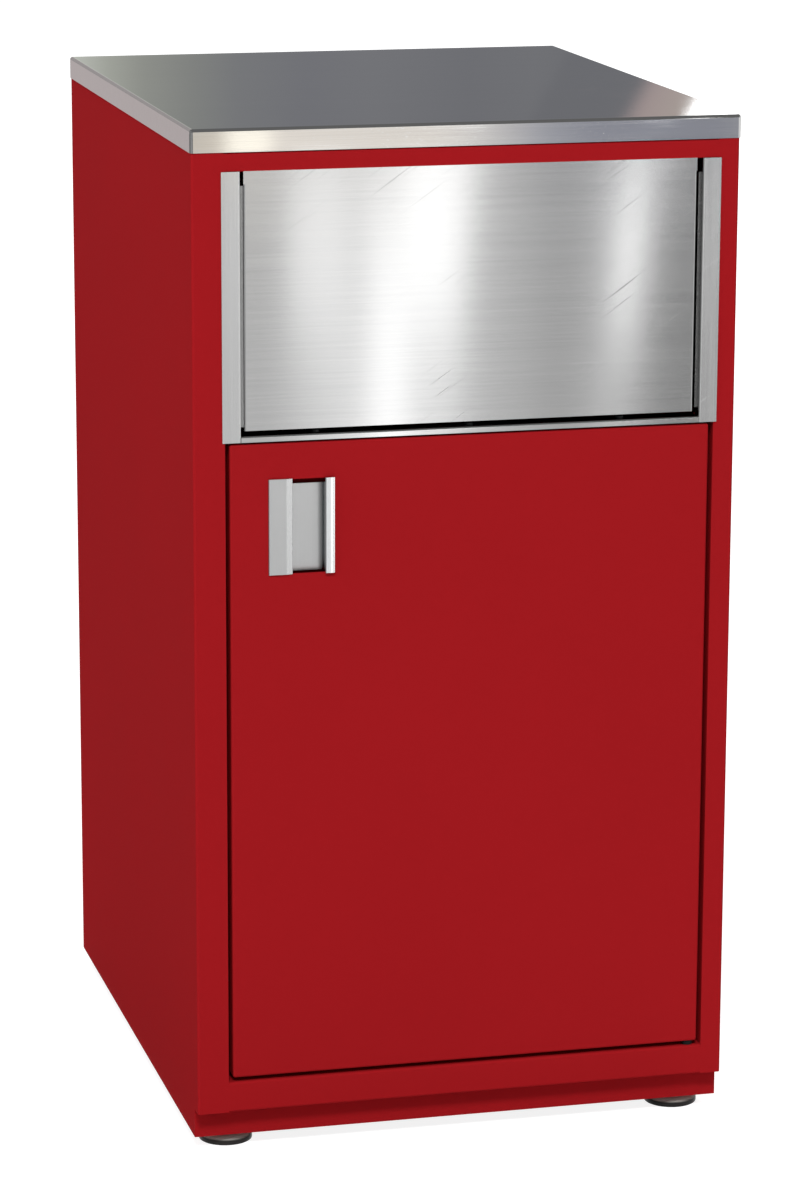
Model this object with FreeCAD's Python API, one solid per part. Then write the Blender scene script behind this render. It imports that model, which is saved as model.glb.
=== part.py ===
import FreeCAD
import Part

import math
import os

# Trash cabinet: a painted sheet-steel carcass under a stainless worktop, with a push-in flap and a door below.
# Millimetres, +Z up, front towards -Y. The origin is on the floor, in the middle of the outer box.

# Worktop and outer sizes
WIDTH = 610.0
DEPTH = 730.0
HEIGHT = 1143.0
TOP_THICKNESS = 25.4
TOP_OVERHANG = 1.0
TOP_SEAM = 0.6

# Sheets and their bends (inside radii)
SHEET = 1.5
STAINLESS = 1.2
BEND = 1.5
TRIM_BEND = 0.6
TOP_BEND = 2.0

# Clearances
FIT = 0.05
RUNNING = 0.06
REST = 0.3

# Carcass
LATCH_STILE = 35.0
HINGE_STILE = 24.0
STILE_RETURN = 22.0
REAR_FLANGE = 22.0
TOP_FLANGE = 25.0
BASE_FLANGE = 80.0
BACK_FLANGE = 30.0
TOP_RAIL = 20.4
TOP_RAIL_FLANGE = 40.0
BOTTOM_RAIL = 34.6
BOTTOM_RAIL_FLANGE = 45.0
TOE_HEIGHT = 33.0
TOE_RECESS = 19.0
TOE_FLANGE = 30.0
FLOOR_CLEARANCE = 15.0
FLOOR_SETBACK = 25.0
FLOOR_RIM = 25.0
BRACE_WIDTH = 40.0
BRACE_DROP = 20.0

# Screws and rivets
SCREW_RADIUS = 2.4
SCREW_HEAD_RADIUS = 4.6
SCREW_HEAD = 2.2
WORKTOP_SCREW = 14.0
SILL_SCREW = 4.2
SCREW_INSET = 13.0
WORKTOP_SCREW_COUNT = 3
RIVET_RADIUS = 2.1
RIVET_HEAD_RADIUS = 4.2
RIVET_HEAD = 0.9
RIVET_TAIL = 1.4
RIVET_INSET = 11.0
RIVET_COUNT = 6
RIVET_END_MARGIN = 50.0

# Levelling feet
FOOT_RADIUS = 30.0
FOOT_EDGE = 4.0
FOOT_BEVEL = 3.0
FOOT_HUB_RADIUS = 10.0
FOOT_HUB = 2.5
FOOT_CROWN = 1.6
FOOT_CROWN_RADIUS = 22.0
FOOT_INSET_SIDE = 42.0
FOOT_INSET_FRONT = 54.0
FOOT_INSET_REAR = 62.0
STUD_RADIUS = 5.0
STUD_RISE = 42.0
STUD_SEAT = 5.0
STUD_CLEARANCE = 0.3
PLATE = 3.0
PLATE_LENGTH = 64.0
NUT_HEIGHT = 8.0
NUT_ACROSS_FLATS = 17.0

# Chute trim
CHUTE_HEIGHT = 292.0
JAMB_OVERLAP = 3.0
JAMB_FLANGE = 20.5
JAMB_DEPTH = 16.0
JAMB_LIP = 12.0
JAMB_TOP_GAP = 0.3
SILL_LIP = 6.6
SILL_DEPTH = 40.0
SILL_SCREW_COUNT = 3
SILL_SCREW_SETBACK = 17.0

# Flap
FLAP_GAP = 5.0
FLAP_BOTTOM_GAP = 4.9
FLAP_RECESS = 5.0
FLAP_DEPTH = 18.0
FLAP_RETURN_DROP = 22.0
ROD_RADIUS = 4.0
ROD_RISE = 7.3
ROD_END_GAP = 0.3
BUSH_WALL = 1.1
BUSH_SPIGOT = 15.0
BUSH_COLLAR_RADIUS = 5.6
BRACKET = 3.0
BRACKET_SETBACK = 2.5
BRACKET_LENGTH = 18.0
BRACKET_BELOW_ROD = 6.5
BRACKET_ABOVE_ROD = 10.0
EDGE_REACH = 15.0
EDGE_RISE = 1.0
EDGE_TOP_GAP = 4.0
FLAP_BUMPER_RISE = 32.0
FLAP_BUMPER_RADIUS = 4.0

# Mid rail
MID_SETBACK = 2.0
MID_DROP = 44.0
MID_FOOT_FLANGE = 20.0

# Door
DOOR_GAP = 5.0
DOOR_TOP_GAP = 2.0
DOOR_DEPTH = 22.0
LINER = 1.2
LINER_RIM = 5.0
STIFFENER = 1.2
STIFFENER_CROWN = 40.0
STIFFENER_FOOT = 18.0
STIFFENER_SLOPE = 6.0
STIFFENER_END_GAP = 45.0
STOP_GAP = 5.0
CATCH_INSET = 14.0
CATCH_LENGTH = 48.0
CATCH_HEIGHT = 18.0
CATCH_BELOW_DOOR_TOP = 8.0
STRIKE = 0.8
STRIKE_MARGIN = 3.0
DOOR_BUMPER_RADIUS = 6.0
DOOR_BUMPER_INSET = 90.0

# Door hinges
HINGE_INSET = 9.0
HINGE_DEPTH = 9.0
PIN_RADIUS = 4.0
PIN_TIP_GAP = 0.5
HINGE_BUSH_WALL = 1.5
HINGE_BUSH_TAIL = 4.0
HINGE_COLLAR_RADIUS = 6.6
HINGE_BLOCK_WIDTH = 13.0
HINGE_BLOCK_DEPTH = 12.0
HINGE_BLOCK_HEIGHT = 26.0

# Door pull, an aluminium extrusion set into the door
PULL_INSET = 42.0
PULL_BELOW_DOOR_TOP = 39.7
PULL_LENGTH = 105.5
PULL_WIDTH = 74.3
PULL_WALL = 2.0
PULL_PLATE = 27.0
PULL_PLATE_PROUD = 2.0
PULL_PLATE_EDGE = 1.0
PULL_PLATE_BEVEL = 7.3
PULL_PLATE_BEVEL_DROP = 1.3
PULL_PLATE_ROLL = 1.2
PULL_POCKET_DEPTH = 12.0
PULL_POCKET_ROUND = 3.0
PULL_LIP = 11.8
PULL_LIP_LEDGE = 4.3
PULL_LIP_PROUD = 4.0
PULL_LIP_UNDERCUT = 1.2
PULL_LIP_NOSE = 1.2
PULL_LIP_CROWN = 3.4
PULL_LIP_TIP = 1.2
PULL_TOP_SLOT = 8.0
PULL_FOOT_SLOT = 0.8
PULL_CUT_MARGIN = 0.5
PULL_RIB = 0.8
PULL_RIB_WIDTH = 1.6
CUT_CLEARANCE = 0.3

# Waste bin
BIN_WIDTH = 440.0
BIN_DEPTH = 500.0
BIN_HEIGHT = 640.0
BIN_TAPER = 20.0
BIN_CORNER = 30.0
BIN_WALL = 3.0
BIN_RIM = 12.0
BIN_RIM_DROP = 22.0
BIN_SETBACK = 70.0

# Places that follow from the sizes
LEFT = TOP_OVERHANG - WIDTH / 2
RIGHT = WIDTH / 2 - TOP_OVERHANG
FRONT = (PULL_LIP_PROUD + TOP_OVERHANG - DEPTH) / 2
REAR = FRONT + DEPTH - 2 * TOP_OVERHANG
CARCASS_TOP = HEIGHT - TOP_THICKNESS
RAIL_FOOT = FLOOR_CLEARANCE + TOE_HEIGHT
SILL = RAIL_FOOT + BOTTOM_RAIL
FLOOR_TOP = SILL - SHEET
LINTEL = CARCASS_TOP - TOP_RAIL
OPENING_LEFT = LEFT + LATCH_STILE
OPENING_RIGHT = RIGHT - HINGE_STILE
OPENING_CENTRE = (OPENING_LEFT + OPENING_RIGHT) / 2
BACK_FRONT = REAR - 2 * SHEET
INNER_LEFT = LEFT + SHEET
INNER_RIGHT = RIGHT - SHEET
CHUTE_FOOT = LINTEL - CHUTE_HEIGHT
SILL_TOP = CHUTE_FOOT + SILL_LIP
MID_TOP = SILL_TOP - STAINLESS
JAMB_LEFT = OPENING_LEFT - JAMB_OVERLAP + JAMB_FLANGE
JAMB_RIGHT = OPENING_RIGHT + JAMB_OVERLAP - JAMB_FLANGE
FLAP_LEFT = JAMB_LEFT + FLAP_GAP
FLAP_RIGHT = JAMB_RIGHT - FLAP_GAP
FLAP_FRONT = FRONT + FLAP_RECESS
FLAP_REAR = FLAP_FRONT + FLAP_DEPTH
FLAP_FOOT = SILL_TOP + FLAP_BOTTOM_GAP
HEM_INSIDE = ROD_RADIUS + RUNNING + BUSH_WALL
HEM_OUTSIDE = HEM_INSIDE + STAINLESS
ROD_Y = FLAP_FRONT + HEM_OUTSIDE
ROD_Z = LINTEL + ROD_RISE
FLAP_RETURN_TOP = ROD_Z - FLAP_RETURN_DROP
DOOR_LEFT = OPENING_LEFT + DOOR_GAP
DOOR_RIGHT = OPENING_RIGHT - DOOR_GAP
DOOR_BOTTOM = SILL + DOOR_GAP
DOOR_TOP = CHUTE_FOOT - DOOR_TOP_GAP
DOOR_REAR = FRONT + DOOR_DEPTH
DOOR_CENTRE = (DOOR_LEFT + DOOR_RIGHT) / 2
STOP_FACE = DOOR_REAR + STOP_GAP
MID_FOOT = MID_TOP - MID_DROP
HINGE_X = DOOR_RIGHT - HINGE_INSET
HINGE_Y = FRONT + HINGE_DEPTH
HINGE_BUSH_RADIUS = PIN_RADIUS + RUNNING + HINGE_BUSH_WALL
PULL_LEFT = DOOR_LEFT + PULL_INSET
PULL_TOP = DOOR_TOP - PULL_BELOW_DOOR_TOP
PULL_FOOT = PULL_TOP - PULL_LENGTH
PULL_POCKET_RIGHT = PULL_WIDTH - PULL_LIP_LEDGE - PULL_WALL
FOOT_XS = (LEFT + FOOT_INSET_SIDE, RIGHT - FOOT_INSET_SIDE)
FOOT_YS = (FRONT + FOOT_INSET_FRONT, REAR - FOOT_INSET_REAR)
FEET = {
    "front_left": (FOOT_XS[0], FOOT_YS[0]),
    "front_right": (FOOT_XS[1], FOOT_YS[0]),
    "rear_left": (FOOT_XS[0], FOOT_YS[1]),
    "rear_right": (FOOT_XS[1], FOOT_YS[1]),
}

# Directions
X = FreeCAD.Vector(1, 0, 0)
Y = FreeCAD.Vector(0, 1, 0)
Z = FreeCAD.Vector(0, 0, 1)
TURN_TO_SECTION = 120


def at(x, y, z=0.0):
    return FreeCAD.Vector(x, y, z)


def unit(vector):
    return vector * (1 / vector.Length)


def evenly(first, last, count):
    """Evenly spaced values from first to last."""
    return [first + (last - first) * step / (count - 1) for step in range(count)]


def block(low, high):
    size = high - low
    return Part.makeBox(size.x, size.y, size.z, low)


def rod(radius, start, direction, length):
    return Part.makeCylinder(radius, length, start, direction)


def line(start, end):
    return Part.LineSegment(start, end).toShape()


def path_edges(points, radii):
    """Straight runs through points, with each inner corner rounded by its radius."""
    edges = []
    start = points[0]
    for before, corner, after, radius in zip(points, points[1:], points[2:], radii):
        if radius:
            back = unit(before - corner)
            ahead = unit(after - corner)
            half = back.getAngle(ahead) / 2
            first = corner + back * (radius / math.tan(half))
            last = corner + ahead * (radius / math.tan(half))
            middle = corner + unit(back + ahead) * (radius / math.sin(half) - radius)
            edges.append(line(start, first))
            edges.append(Part.Arc(first, middle, last).toShape())
            start = last
        else:
            edges.append(line(start, corner))
            start = corner
    edges.append(line(start, points[-1]))
    return edges


def closed_wire(points, radii):
    """Closed outline through points, with every corner rounded by its radius."""
    seam = (points[-1] + points[0]) * 0.5
    return Part.Wire(path_edges([seam] + points + [seam], radii))


def right_of(points, distance):
    """The path moved sideways to its right, corners kept square."""
    normals = []
    for start, end in zip(points, points[1:]):
        along = unit(end - start)
        normals.append(at(along.y, -along.x))
    inner = zip(points[1:], normals, normals[1:])
    moved = [point + (one + two) * (distance / (1 + one.dot(two))) for point, one, two in inner]
    return [points[0] + normals[0] * distance] + moved + [points[-1] + normals[-1] * distance]


def sheet_face(points, bends, thickness):
    """Cross-section of a folded sheet to the right of a path. A bend of None is a welded, square corner."""
    near = []
    far = []
    for before, corner, after, bend in zip(points, points[1:], points[2:], bends):
        turns_left = (corner - before).cross(after - corner).z > 0
        inside, outside = (0, 0) if bend is None else (bend, bend + thickness)
        near.append(inside if turns_left else outside)
        far.append(outside if turns_left else inside)
    other = right_of(points, thickness)
    edges = path_edges(points, near)
    edges.append(line(points[-1], other[-1]))
    edges += path_edges(other[::-1], far[::-1])
    edges.append(line(other[0], points[0]))
    return Part.Face(Part.Wire(edges))


def plan_sheet(points, bends, low, high, thickness=SHEET):
    """Folded sheet with its cross-section in plan (x, y), standing from height low to high."""
    face = sheet_face([at(*point) for point in points], bends, thickness)
    face.translate(Z * low)
    return face.extrude(Z * (high - low))


def section_sheet(points, bends, left, right, thickness=SHEET):
    """Folded sheet with its cross-section seen from the side (y, z), running from left to right."""
    face = sheet_face([at(*point) for point in points], bends, thickness)
    sheet = face.extrude(Z * (right - left))
    sheet.rotate(at(0, 0), at(1, 1, 1), TURN_TO_SECTION)
    sheet.translate(X * left)
    return sheet


def rounded_block(low, high, open_side, radius):
    """Block with its edges rounded, apart from those round its open side."""
    solid = block(low, high)
    reach = max(vertex.Point.dot(open_side) for vertex in solid.Vertexes)
    edges = []
    for edge in solid.Edges:
        nearest = min(vertex.Point.dot(open_side) for vertex in edge.Vertexes)
        if nearest < reach - radius:
            edges.append(edge)
    return solid.makeFillet(radius, edges)


def pan(low, high, open_side, thickness, bend):
    """Folded pan with welded corners and one open side."""
    wall = at(thickness, thickness, thickness)
    lift = open_side * (2 * thickness)
    forward = at(max(lift.x, 0), max(lift.y, 0), max(lift.z, 0))
    backward = lift - forward
    outer = rounded_block(low, high, open_side, bend + thickness)
    inner = rounded_block(low + wall + backward, high - wall + forward, open_side, bend)
    return outer.cut(inner)


def side_panel(stile):
    """Left-hand side in one sheet, folded round the front into a stile and round the rear into a flange."""
    edge = LEFT + stile
    plan = [
        (edge, FRONT + STILE_RETURN),
        (edge, FRONT),
        (LEFT, FRONT),
        (LEFT, REAR),
        (LEFT + REAR_FLANGE, REAR),
    ]
    panel = plan_sheet(plan, [None, BEND, BEND], FLOOR_CLEARANCE, CARCASS_TOP)
    top_flange = block(
        at(INNER_LEFT, FRONT + TOP_RAIL_FLANGE, CARCASS_TOP - SHEET),
        at(LEFT + TOP_FLANGE, BACK_FRONT - BACK_FLANGE, CARCASS_TOP),
    )
    base_flange = block(
        at(INNER_LEFT, FRONT + TOE_RECESS + SHEET, FLOOR_CLEARANCE),
        at(LEFT + BASE_FLANGE, BACK_FRONT - BACK_FLANGE, FLOOR_CLEARANCE + SHEET),
    )
    toe_notch = block(
        at(LEFT - SHEET, FRONT - SHEET, FLOOR_CLEARANCE - SHEET),
        at(edge + SHEET, FRONT + TOE_RECESS, RAIL_FOOT),
    )
    return_notch = block(
        at(INNER_LEFT, FRONT - SHEET, FLOOR_CLEARANCE - SHEET),
        at(edge + SHEET, FRONT + STILE_RETURN + SHEET, RAIL_FOOT),
    )
    holes = [stud_hole(FOOT_XS[0], y) for y in FOOT_YS]
    screw_hole = SCREW_RADIUS + REST
    holes += [rod(screw_hole, spot, -Z, 2 * SHEET) for spot in worktop_screw_spots(LEFT, 1)]
    holes += [rivet_hole(spot) for spot in rivet_spots(LEFT, 1)]
    panel = panel.cut([toe_notch, return_notch])
    return panel.fuse([top_flange, base_flange]).cut(holes).removeSplitter()


def stud_hole(x, y):
    return rod(STUD_RADIUS + STUD_CLEARANCE, at(x, y, FLOOR_CLEARANCE - PLATE), Z, STUD_RISE)


def worktop_screw_spots(side, inward):
    """Points on the carcass top where screws go up into the worktop along one side."""
    first = FRONT + TOP_RAIL_FLANGE + SCREW_INSET
    last = BACK_FRONT - BACK_FLANGE - SCREW_INSET
    ys = evenly(first, last, WORKTOP_SCREW_COUNT)
    return [at(side + inward * (SHEET + SCREW_INSET), y, CARCASS_TOP) for y in ys]


def rivet_spots(side, inward):
    """Points on the rear face where the back panel is riveted along one side."""
    zs = evenly(FLOOR_TOP + RIVET_END_MARGIN, CARCASS_TOP - RIVET_END_MARGIN, RIVET_COUNT)
    return [at(side + inward * RIVET_INSET, REAR, z) for z in zs]


def rivet_hole(spot):
    """Hole through the rear flange and the back panel."""
    return rod(RIVET_RADIUS + FIT, spot - Y * 3 * SHEET, Y, 4 * SHEET)


def both_sides(spots):
    """Spots along the left side and along the right side."""
    return spots(LEFT, 1) + spots(RIGHT, -1)


def back_panel():
    """Back sheet inside the rear flanges, folded forward at its top and foot."""
    rear = REAR - SHEET
    section = [
        (rear - BACK_FLANGE, CARCASS_TOP),
        (rear, CARCASS_TOP),
        (rear, FLOOR_CLEARANCE),
        (rear - BACK_FLANGE, FLOOR_CLEARANCE),
    ]
    panel = section_sheet(section, [BEND, BEND], INNER_LEFT + BEND, INNER_RIGHT - BEND)
    return panel.cut([rivet_hole(spot) for spot in both_sides(rivet_spots)])


def back_rivets():
    """Blind rivets with low heads outside and upset tails inside."""
    rivets = []
    grip = 2 * SHEET
    for spot in both_sides(rivet_spots):
        head = Part.makeCone(RIVET_HEAD_RADIUS, RIVET_RADIUS, RIVET_HEAD, spot, Y)
        shank = rod(RIVET_RADIUS, spot - Y * grip, Y, grip)
        tail = rod(RIVET_RADIUS + RIVET_TAIL, spot - Y * (grip + RIVET_TAIL), Y, RIVET_TAIL)
        rivets.append(head.fuse([shank, tail]).removeSplitter())
    return Part.makeCompound(rivets)


def floor_panel():
    low = at(INNER_LEFT, FRONT + FLOOR_SETBACK, FLOOR_TOP - FLOOR_RIM)
    return pan(low, at(INNER_RIGHT, BACK_FRONT, FLOOR_TOP), -Z, SHEET, BEND)


def top_rail():
    section = [(FRONT, LINTEL), (FRONT, CARCASS_TOP), (FRONT + TOP_RAIL_FLANGE, CARCASS_TOP)]
    return section_sheet(section, [BEND], OPENING_LEFT, OPENING_RIGHT)


def mid_rail():
    """Rail behind the chute sill: it carries the sill, stops the door and holds the upper hinge bush."""
    web_back = STOP_FACE + SHEET
    section = [
        (FRONT + MID_SETBACK, MID_TOP),
        (web_back, MID_TOP),
        (web_back, MID_FOOT),
        (web_back + MID_FOOT_FLANGE, MID_FOOT),
    ]
    rail = section_sheet(section, [BEND, BEND], OPENING_LEFT, OPENING_RIGHT)
    bush_hole = rod(HINGE_BUSH_RADIUS + FIT, at(HINGE_X, HINGE_Y, MID_TOP - 2 * SHEET), Z, 4 * SHEET)
    return rail.cut([bush_hole] + sill_screw_holes())


def bottom_rail():
    section = [
        (FRONT + BOTTOM_RAIL_FLANGE, RAIL_FOOT),
        (FRONT, RAIL_FOOT),
        (FRONT, SILL),
        (FRONT + BOTTOM_RAIL_FLANGE, SILL),
    ]
    rail = section_sheet(section, [BEND, BEND], OPENING_LEFT, OPENING_RIGHT)
    return rail.cut(rod(HINGE_BUSH_RADIUS + FIT, at(HINGE_X, HINGE_Y, SILL - 2 * SHEET), Z, 4 * SHEET))


def toe_kick():
    face = FRONT + TOE_RECESS
    section = [(face, FLOOR_CLEARANCE), (face, RAIL_FOOT), (face + TOE_FLANGE, RAIL_FOOT)]
    return section_sheet(section, [BEND], INNER_LEFT, INNER_RIGHT)


def top_brace():
    """Channel across the carcass under the worktop."""
    middle = (FRONT + REAR) / 2
    top = CARCASS_TOP - SHEET
    foot = top - BRACE_DROP
    front = middle - BRACE_WIDTH / 2
    rear = middle + BRACE_WIDTH / 2
    section = [(rear, top), (rear, foot), (front, foot), (front, top)]
    return section_sheet(section, [BEND, BEND], INNER_LEFT, INNER_RIGHT)


def worktop_skin():
    """Stainless sheet turned down all round, with an open seam beside each corner."""
    low = at(-WIDTH / 2, FRONT - TOP_OVERHANG, CARCASS_TOP)
    high = at(WIDTH / 2, REAR + TOP_OVERHANG, HEIGHT)
    skin = pan(low, high, -Z, STAINLESS, TOP_BEND)
    seam_top = HEIGHT - STAINLESS - 2 * TOP_BEND
    inset = STAINLESS + TOP_BEND
    seams = []
    for x in (low.x, high.x - STAINLESS):
        for y in (low.y + inset, high.y - inset - TOP_SEAM):
            seams.append(block(at(x, y, CARCASS_TOP), at(x + STAINLESS, y + TOP_SEAM, seam_top)))
    return skin.cut(seams)


def worktop_core():
    """Board that fills the worktop skin."""
    margin = STAINLESS + TOP_BEND - TOP_OVERHANG
    low = at(LEFT + margin, FRONT + margin, CARCASS_TOP)
    core = block(low, at(RIGHT - margin, REAR - margin, HEIGHT - STAINLESS - REST))
    spots = both_sides(worktop_screw_spots)
    return core.cut([rod(SCREW_RADIUS + FIT, spot, Z, WORKTOP_SCREW) for spot in spots])


def pan_head_screw(seat, direction, length):
    """Screw with its head's underside at seat and its shank running along direction."""
    crown = SCREW_HEAD / 2
    head = rod(SCREW_HEAD_RADIUS, seat, -direction, crown)
    top = SCREW_HEAD_RADIUS - crown
    taper = Part.makeCone(SCREW_HEAD_RADIUS, top, crown, seat - direction * crown, -direction)
    return head.fuse([taper, rod(SCREW_RADIUS, seat, direction, length)]).removeSplitter()


def worktop_screws():
    seats = [spot - Z * SHEET for spot in both_sides(worktop_screw_spots)]
    return Part.makeCompound([pan_head_screw(seat, Z, WORKTOP_SCREW) for seat in seats])


def leveller_plates():
    plates = []
    floor = FLOOR_CLEARANCE + SHEET
    for x, y in FEET.values():
        outer = INNER_LEFT if x < 0 else INNER_RIGHT
        inner = LEFT + BASE_FLANGE if x < 0 else RIGHT - BASE_FLANGE
        low = at(min(outer, inner), y - PLATE_LENGTH / 2, floor)
        plate = block(low, at(max(outer, inner), y + PLATE_LENGTH / 2, floor + PLATE))
        plates.append(plate.cut(stud_hole(x, y)))
    return Part.makeCompound(plates)


def leveller_nuts():
    nuts = []
    corner = NUT_ACROSS_FLATS / math.sqrt(3)
    for x, y in FEET.values():
        centre = at(x, y, FLOOR_CLEARANCE + SHEET + PLATE)
        turns = [step * math.pi / 3 for step in range(7)]
        rim = [centre + at(math.cos(turn), math.sin(turn)) * corner for turn in turns]
        nut = Part.Face(Part.makePolygon(rim)).extrude(Z * NUT_HEIGHT)
        nuts.append(nut.cut(stud_hole(x, y)))
    return Part.makeCompound(nuts)


def foot_pad(x, y):
    """Domed pad with a socket for its stud, turned about the stud's axis."""
    top = FLOOR_CLEARANCE - REST
    shoulder = top - FOOT_HUB
    profile = [
        at(0, 0, 0),
        at(FOOT_RADIUS - FOOT_BEVEL, 0, 0),
        at(FOOT_RADIUS, 0, FOOT_BEVEL),
        at(FOOT_RADIUS, 0, FOOT_BEVEL + FOOT_EDGE),
        at(FOOT_CROWN_RADIUS, 0, shoulder - FOOT_CROWN),
        at(FOOT_HUB_RADIUS, 0, shoulder),
        at(FOOT_HUB_RADIUS, 0, top),
        at(0, 0, top),
    ]
    pad = Part.Face(Part.makePolygon(profile + profile[:1])).revolve(at(0, 0), Z, 360)
    pad = pad.cut(rod(STUD_RADIUS + FIT, at(0, 0, STUD_SEAT), Z, FLOOR_CLEARANCE))
    pad.translate(at(x, y))
    return pad


def foot_stud(x, y):
    return rod(STUD_RADIUS, at(x, y, STUD_SEAT), Z, FLOOR_CLEARANCE + STUD_RISE - STUD_SEAT)


def chute_jamb():
    """Left-hand jamb: a flange over the stile, a return beside the flap and a lip behind for its stop."""
    rear = FRONT + JAMB_DEPTH
    plan = [
        (JAMB_LEFT - JAMB_LIP, rear),
        (JAMB_LEFT, rear),
        (JAMB_LEFT, FRONT - STAINLESS),
        (OPENING_LEFT - JAMB_OVERLAP, FRONT - STAINLESS),
    ]
    jamb = plan_sheet(plan, [TRIM_BEND, TRIM_BEND], CHUTE_FOOT, LINTEL - JAMB_TOP_GAP, STAINLESS)
    over_rail = block(
        at(OPENING_LEFT, FRONT, CHUTE_FOOT - SHEET),
        at(JAMB_LEFT + SHEET, rear + SHEET, MID_TOP),
    )
    return jamb.cut(over_rail)


def about_opening(shape):
    """Mirror image across the middle of the front opening."""
    return shape.mirror(at(OPENING_CENTRE, 0), X)


def sill_screw_spots():
    third = (JAMB_RIGHT - JAMB_LEFT) / SILL_SCREW_COUNT
    xs = [JAMB_LEFT + third * (step + 0.5) for step in range(SILL_SCREW_COUNT)]
    return [at(x, FRONT + SILL_SCREW_SETBACK, SILL_TOP) for x in xs]


def sill_screw_holes():
    return [rod(SCREW_RADIUS + FIT, spot, -Z, SILL_SCREW) for spot in sill_screw_spots()]


def chute_sill():
    section = [(FRONT - STAINLESS, CHUTE_FOOT), (FRONT - STAINLESS, SILL_TOP), (FRONT + SILL_DEPTH, SILL_TOP)]
    sill = section_sheet(section, [TRIM_BEND], JAMB_LEFT, JAMB_RIGHT, STAINLESS)
    return sill.cut(sill_screw_holes())


def sill_screws():
    return Part.makeCompound([pan_head_screw(spot, -Z, SILL_SCREW) for spot in sill_screw_spots()])


def flap_rod():
    start = at(OPENING_LEFT + ROD_END_GAP, ROD_Y, ROD_Z)
    return rod(ROD_RADIUS, start, X, OPENING_RIGHT - OPENING_LEFT - 2 * ROD_END_GAP)


def rod_bracket():
    """Left-hand plate on the stile's return that holds one end of the flap's rod."""
    low = at(OPENING_LEFT, FRONT + BRACKET_SETBACK, ROD_Z - BRACKET_BELOW_ROD)
    plate = block(low, at(OPENING_LEFT + BRACKET, low.y + BRACKET_LENGTH, ROD_Z + BRACKET_ABOVE_ROD))
    return plate.cut(rod(ROD_RADIUS + FIT, at(OPENING_LEFT, ROD_Y, ROD_Z), X, BRACKET))


def flap_panel():
    """Stainless flap: side and foot returns behind its face, and its top edge rolled over the rod."""
    plan = [
        (FLAP_RIGHT, FLAP_REAR),
        (FLAP_RIGHT, FLAP_FRONT),
        (FLAP_LEFT, FLAP_FRONT),
        (FLAP_LEFT, FLAP_REAR),
    ]
    tray = plan_sheet(plan, [TRIM_BEND, TRIM_BEND], FLAP_FOOT, FLAP_RETURN_TOP, STAINLESS)
    foot = block(
        at(FLAP_LEFT + STAINLESS, FLAP_FRONT + STAINLESS, FLAP_FOOT),
        at(FLAP_RIGHT - STAINLESS, FLAP_REAR, FLAP_FOOT + STAINLESS),
    )
    neck = block(
        at(FLAP_LEFT, FLAP_FRONT, FLAP_RETURN_TOP),
        at(FLAP_RIGHT, FLAP_FRONT + STAINLESS, ROD_Z),
    )
    axis_start = at(FLAP_LEFT, ROD_Y, ROD_Z)
    length = FLAP_RIGHT - FLAP_LEFT
    roll = rod(HEM_OUTSIDE, axis_start, X, length).cut(rod(HEM_INSIDE, axis_start, X, length))
    open_quarter = block(at(FLAP_LEFT, ROD_Y - HEM_OUTSIDE, ROD_Z - HEM_OUTSIDE), at(FLAP_RIGHT, ROD_Y, ROD_Z))
    return tray.fuse([foot, neck, roll.cut(open_quarter)]).removeSplitter()


def flap_backing():
    """Plate that closes the flap behind, with an edge at each side that stops against the jamb's lip."""
    plate = block(
        at(FLAP_LEFT + STAINLESS, FLAP_REAR, FLAP_FOOT),
        at(FLAP_RIGHT - STAINLESS, FLAP_REAR + STAINLESS, FLAP_RETURN_TOP),
    )
    edges = block(
        at(FLAP_LEFT - EDGE_REACH, FLAP_REAR, FLAP_FOOT + EDGE_RISE),
        at(FLAP_RIGHT + EDGE_REACH, FLAP_REAR + STAINLESS, FLAP_RETURN_TOP - EDGE_TOP_GAP),
    )
    return plate.fuse(edges).removeSplitter()


def flap_bumpers():
    """Rubber buttons on those edges, a rest clearance short of the jambs' lips."""
    length = FLAP_REAR - FRONT - JAMB_DEPTH - REST
    z = FLAP_FOOT + FLAP_BUMPER_RISE
    middle = (JAMB_LIP + STAINLESS) / 2
    buttons = [
        rod(FLAP_BUMPER_RADIUS, at(x, FLAP_REAR, z), -Y, length)
        for x in (JAMB_LEFT - middle, JAMB_RIGHT + middle)
    ]
    return Part.makeCompound(buttons)


def flap_bush():
    """Left-hand bush: a spigot inside the flap's roll and a collar that keeps the flap off its bracket."""
    collar_start = OPENING_LEFT + BRACKET + REST
    collar = rod(BUSH_COLLAR_RADIUS, at(collar_start, ROD_Y, ROD_Z), X, FLAP_LEFT - collar_start)
    spigot = rod(HEM_INSIDE - FIT, at(FLAP_LEFT, ROD_Y, ROD_Z), X, BUSH_SPIGOT)
    bore = rod(ROD_RADIUS + RUNNING, at(OPENING_LEFT, ROD_Y, ROD_Z), X, FLAP_RIGHT - FLAP_LEFT)
    return collar.fuse(spigot).cut(bore).removeSplitter()


def door_skin():
    """Outer pan of the door, cut out for its pull and drilled for its hinge pins."""
    skin = pan(at(DOOR_LEFT, FRONT, DOOR_BOTTOM), at(DOOR_RIGHT, DOOR_REAR, DOOR_TOP), Y, SHEET, BEND)
    cut_left = PULL_LEFT + PULL_PLATE - PULL_WALL - CUT_CLEARANCE
    cut_right = PULL_LEFT + PULL_POCKET_RIGHT + PULL_WALL + CUT_CLEARANCE
    cut_out = block(
        at(cut_left, FRONT - SHEET, PULL_FOOT + PULL_CUT_MARGIN),
        at(cut_right, FRONT + 2 * SHEET, PULL_TOP - PULL_CUT_MARGIN),
    )
    pin_hole = rod(PIN_RADIUS + FIT, at(HINGE_X, HINGE_Y, DOOR_BOTTOM), Z, DOOR_TOP - DOOR_BOTTOM)
    return skin.cut([cut_out, pin_hole])


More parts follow.
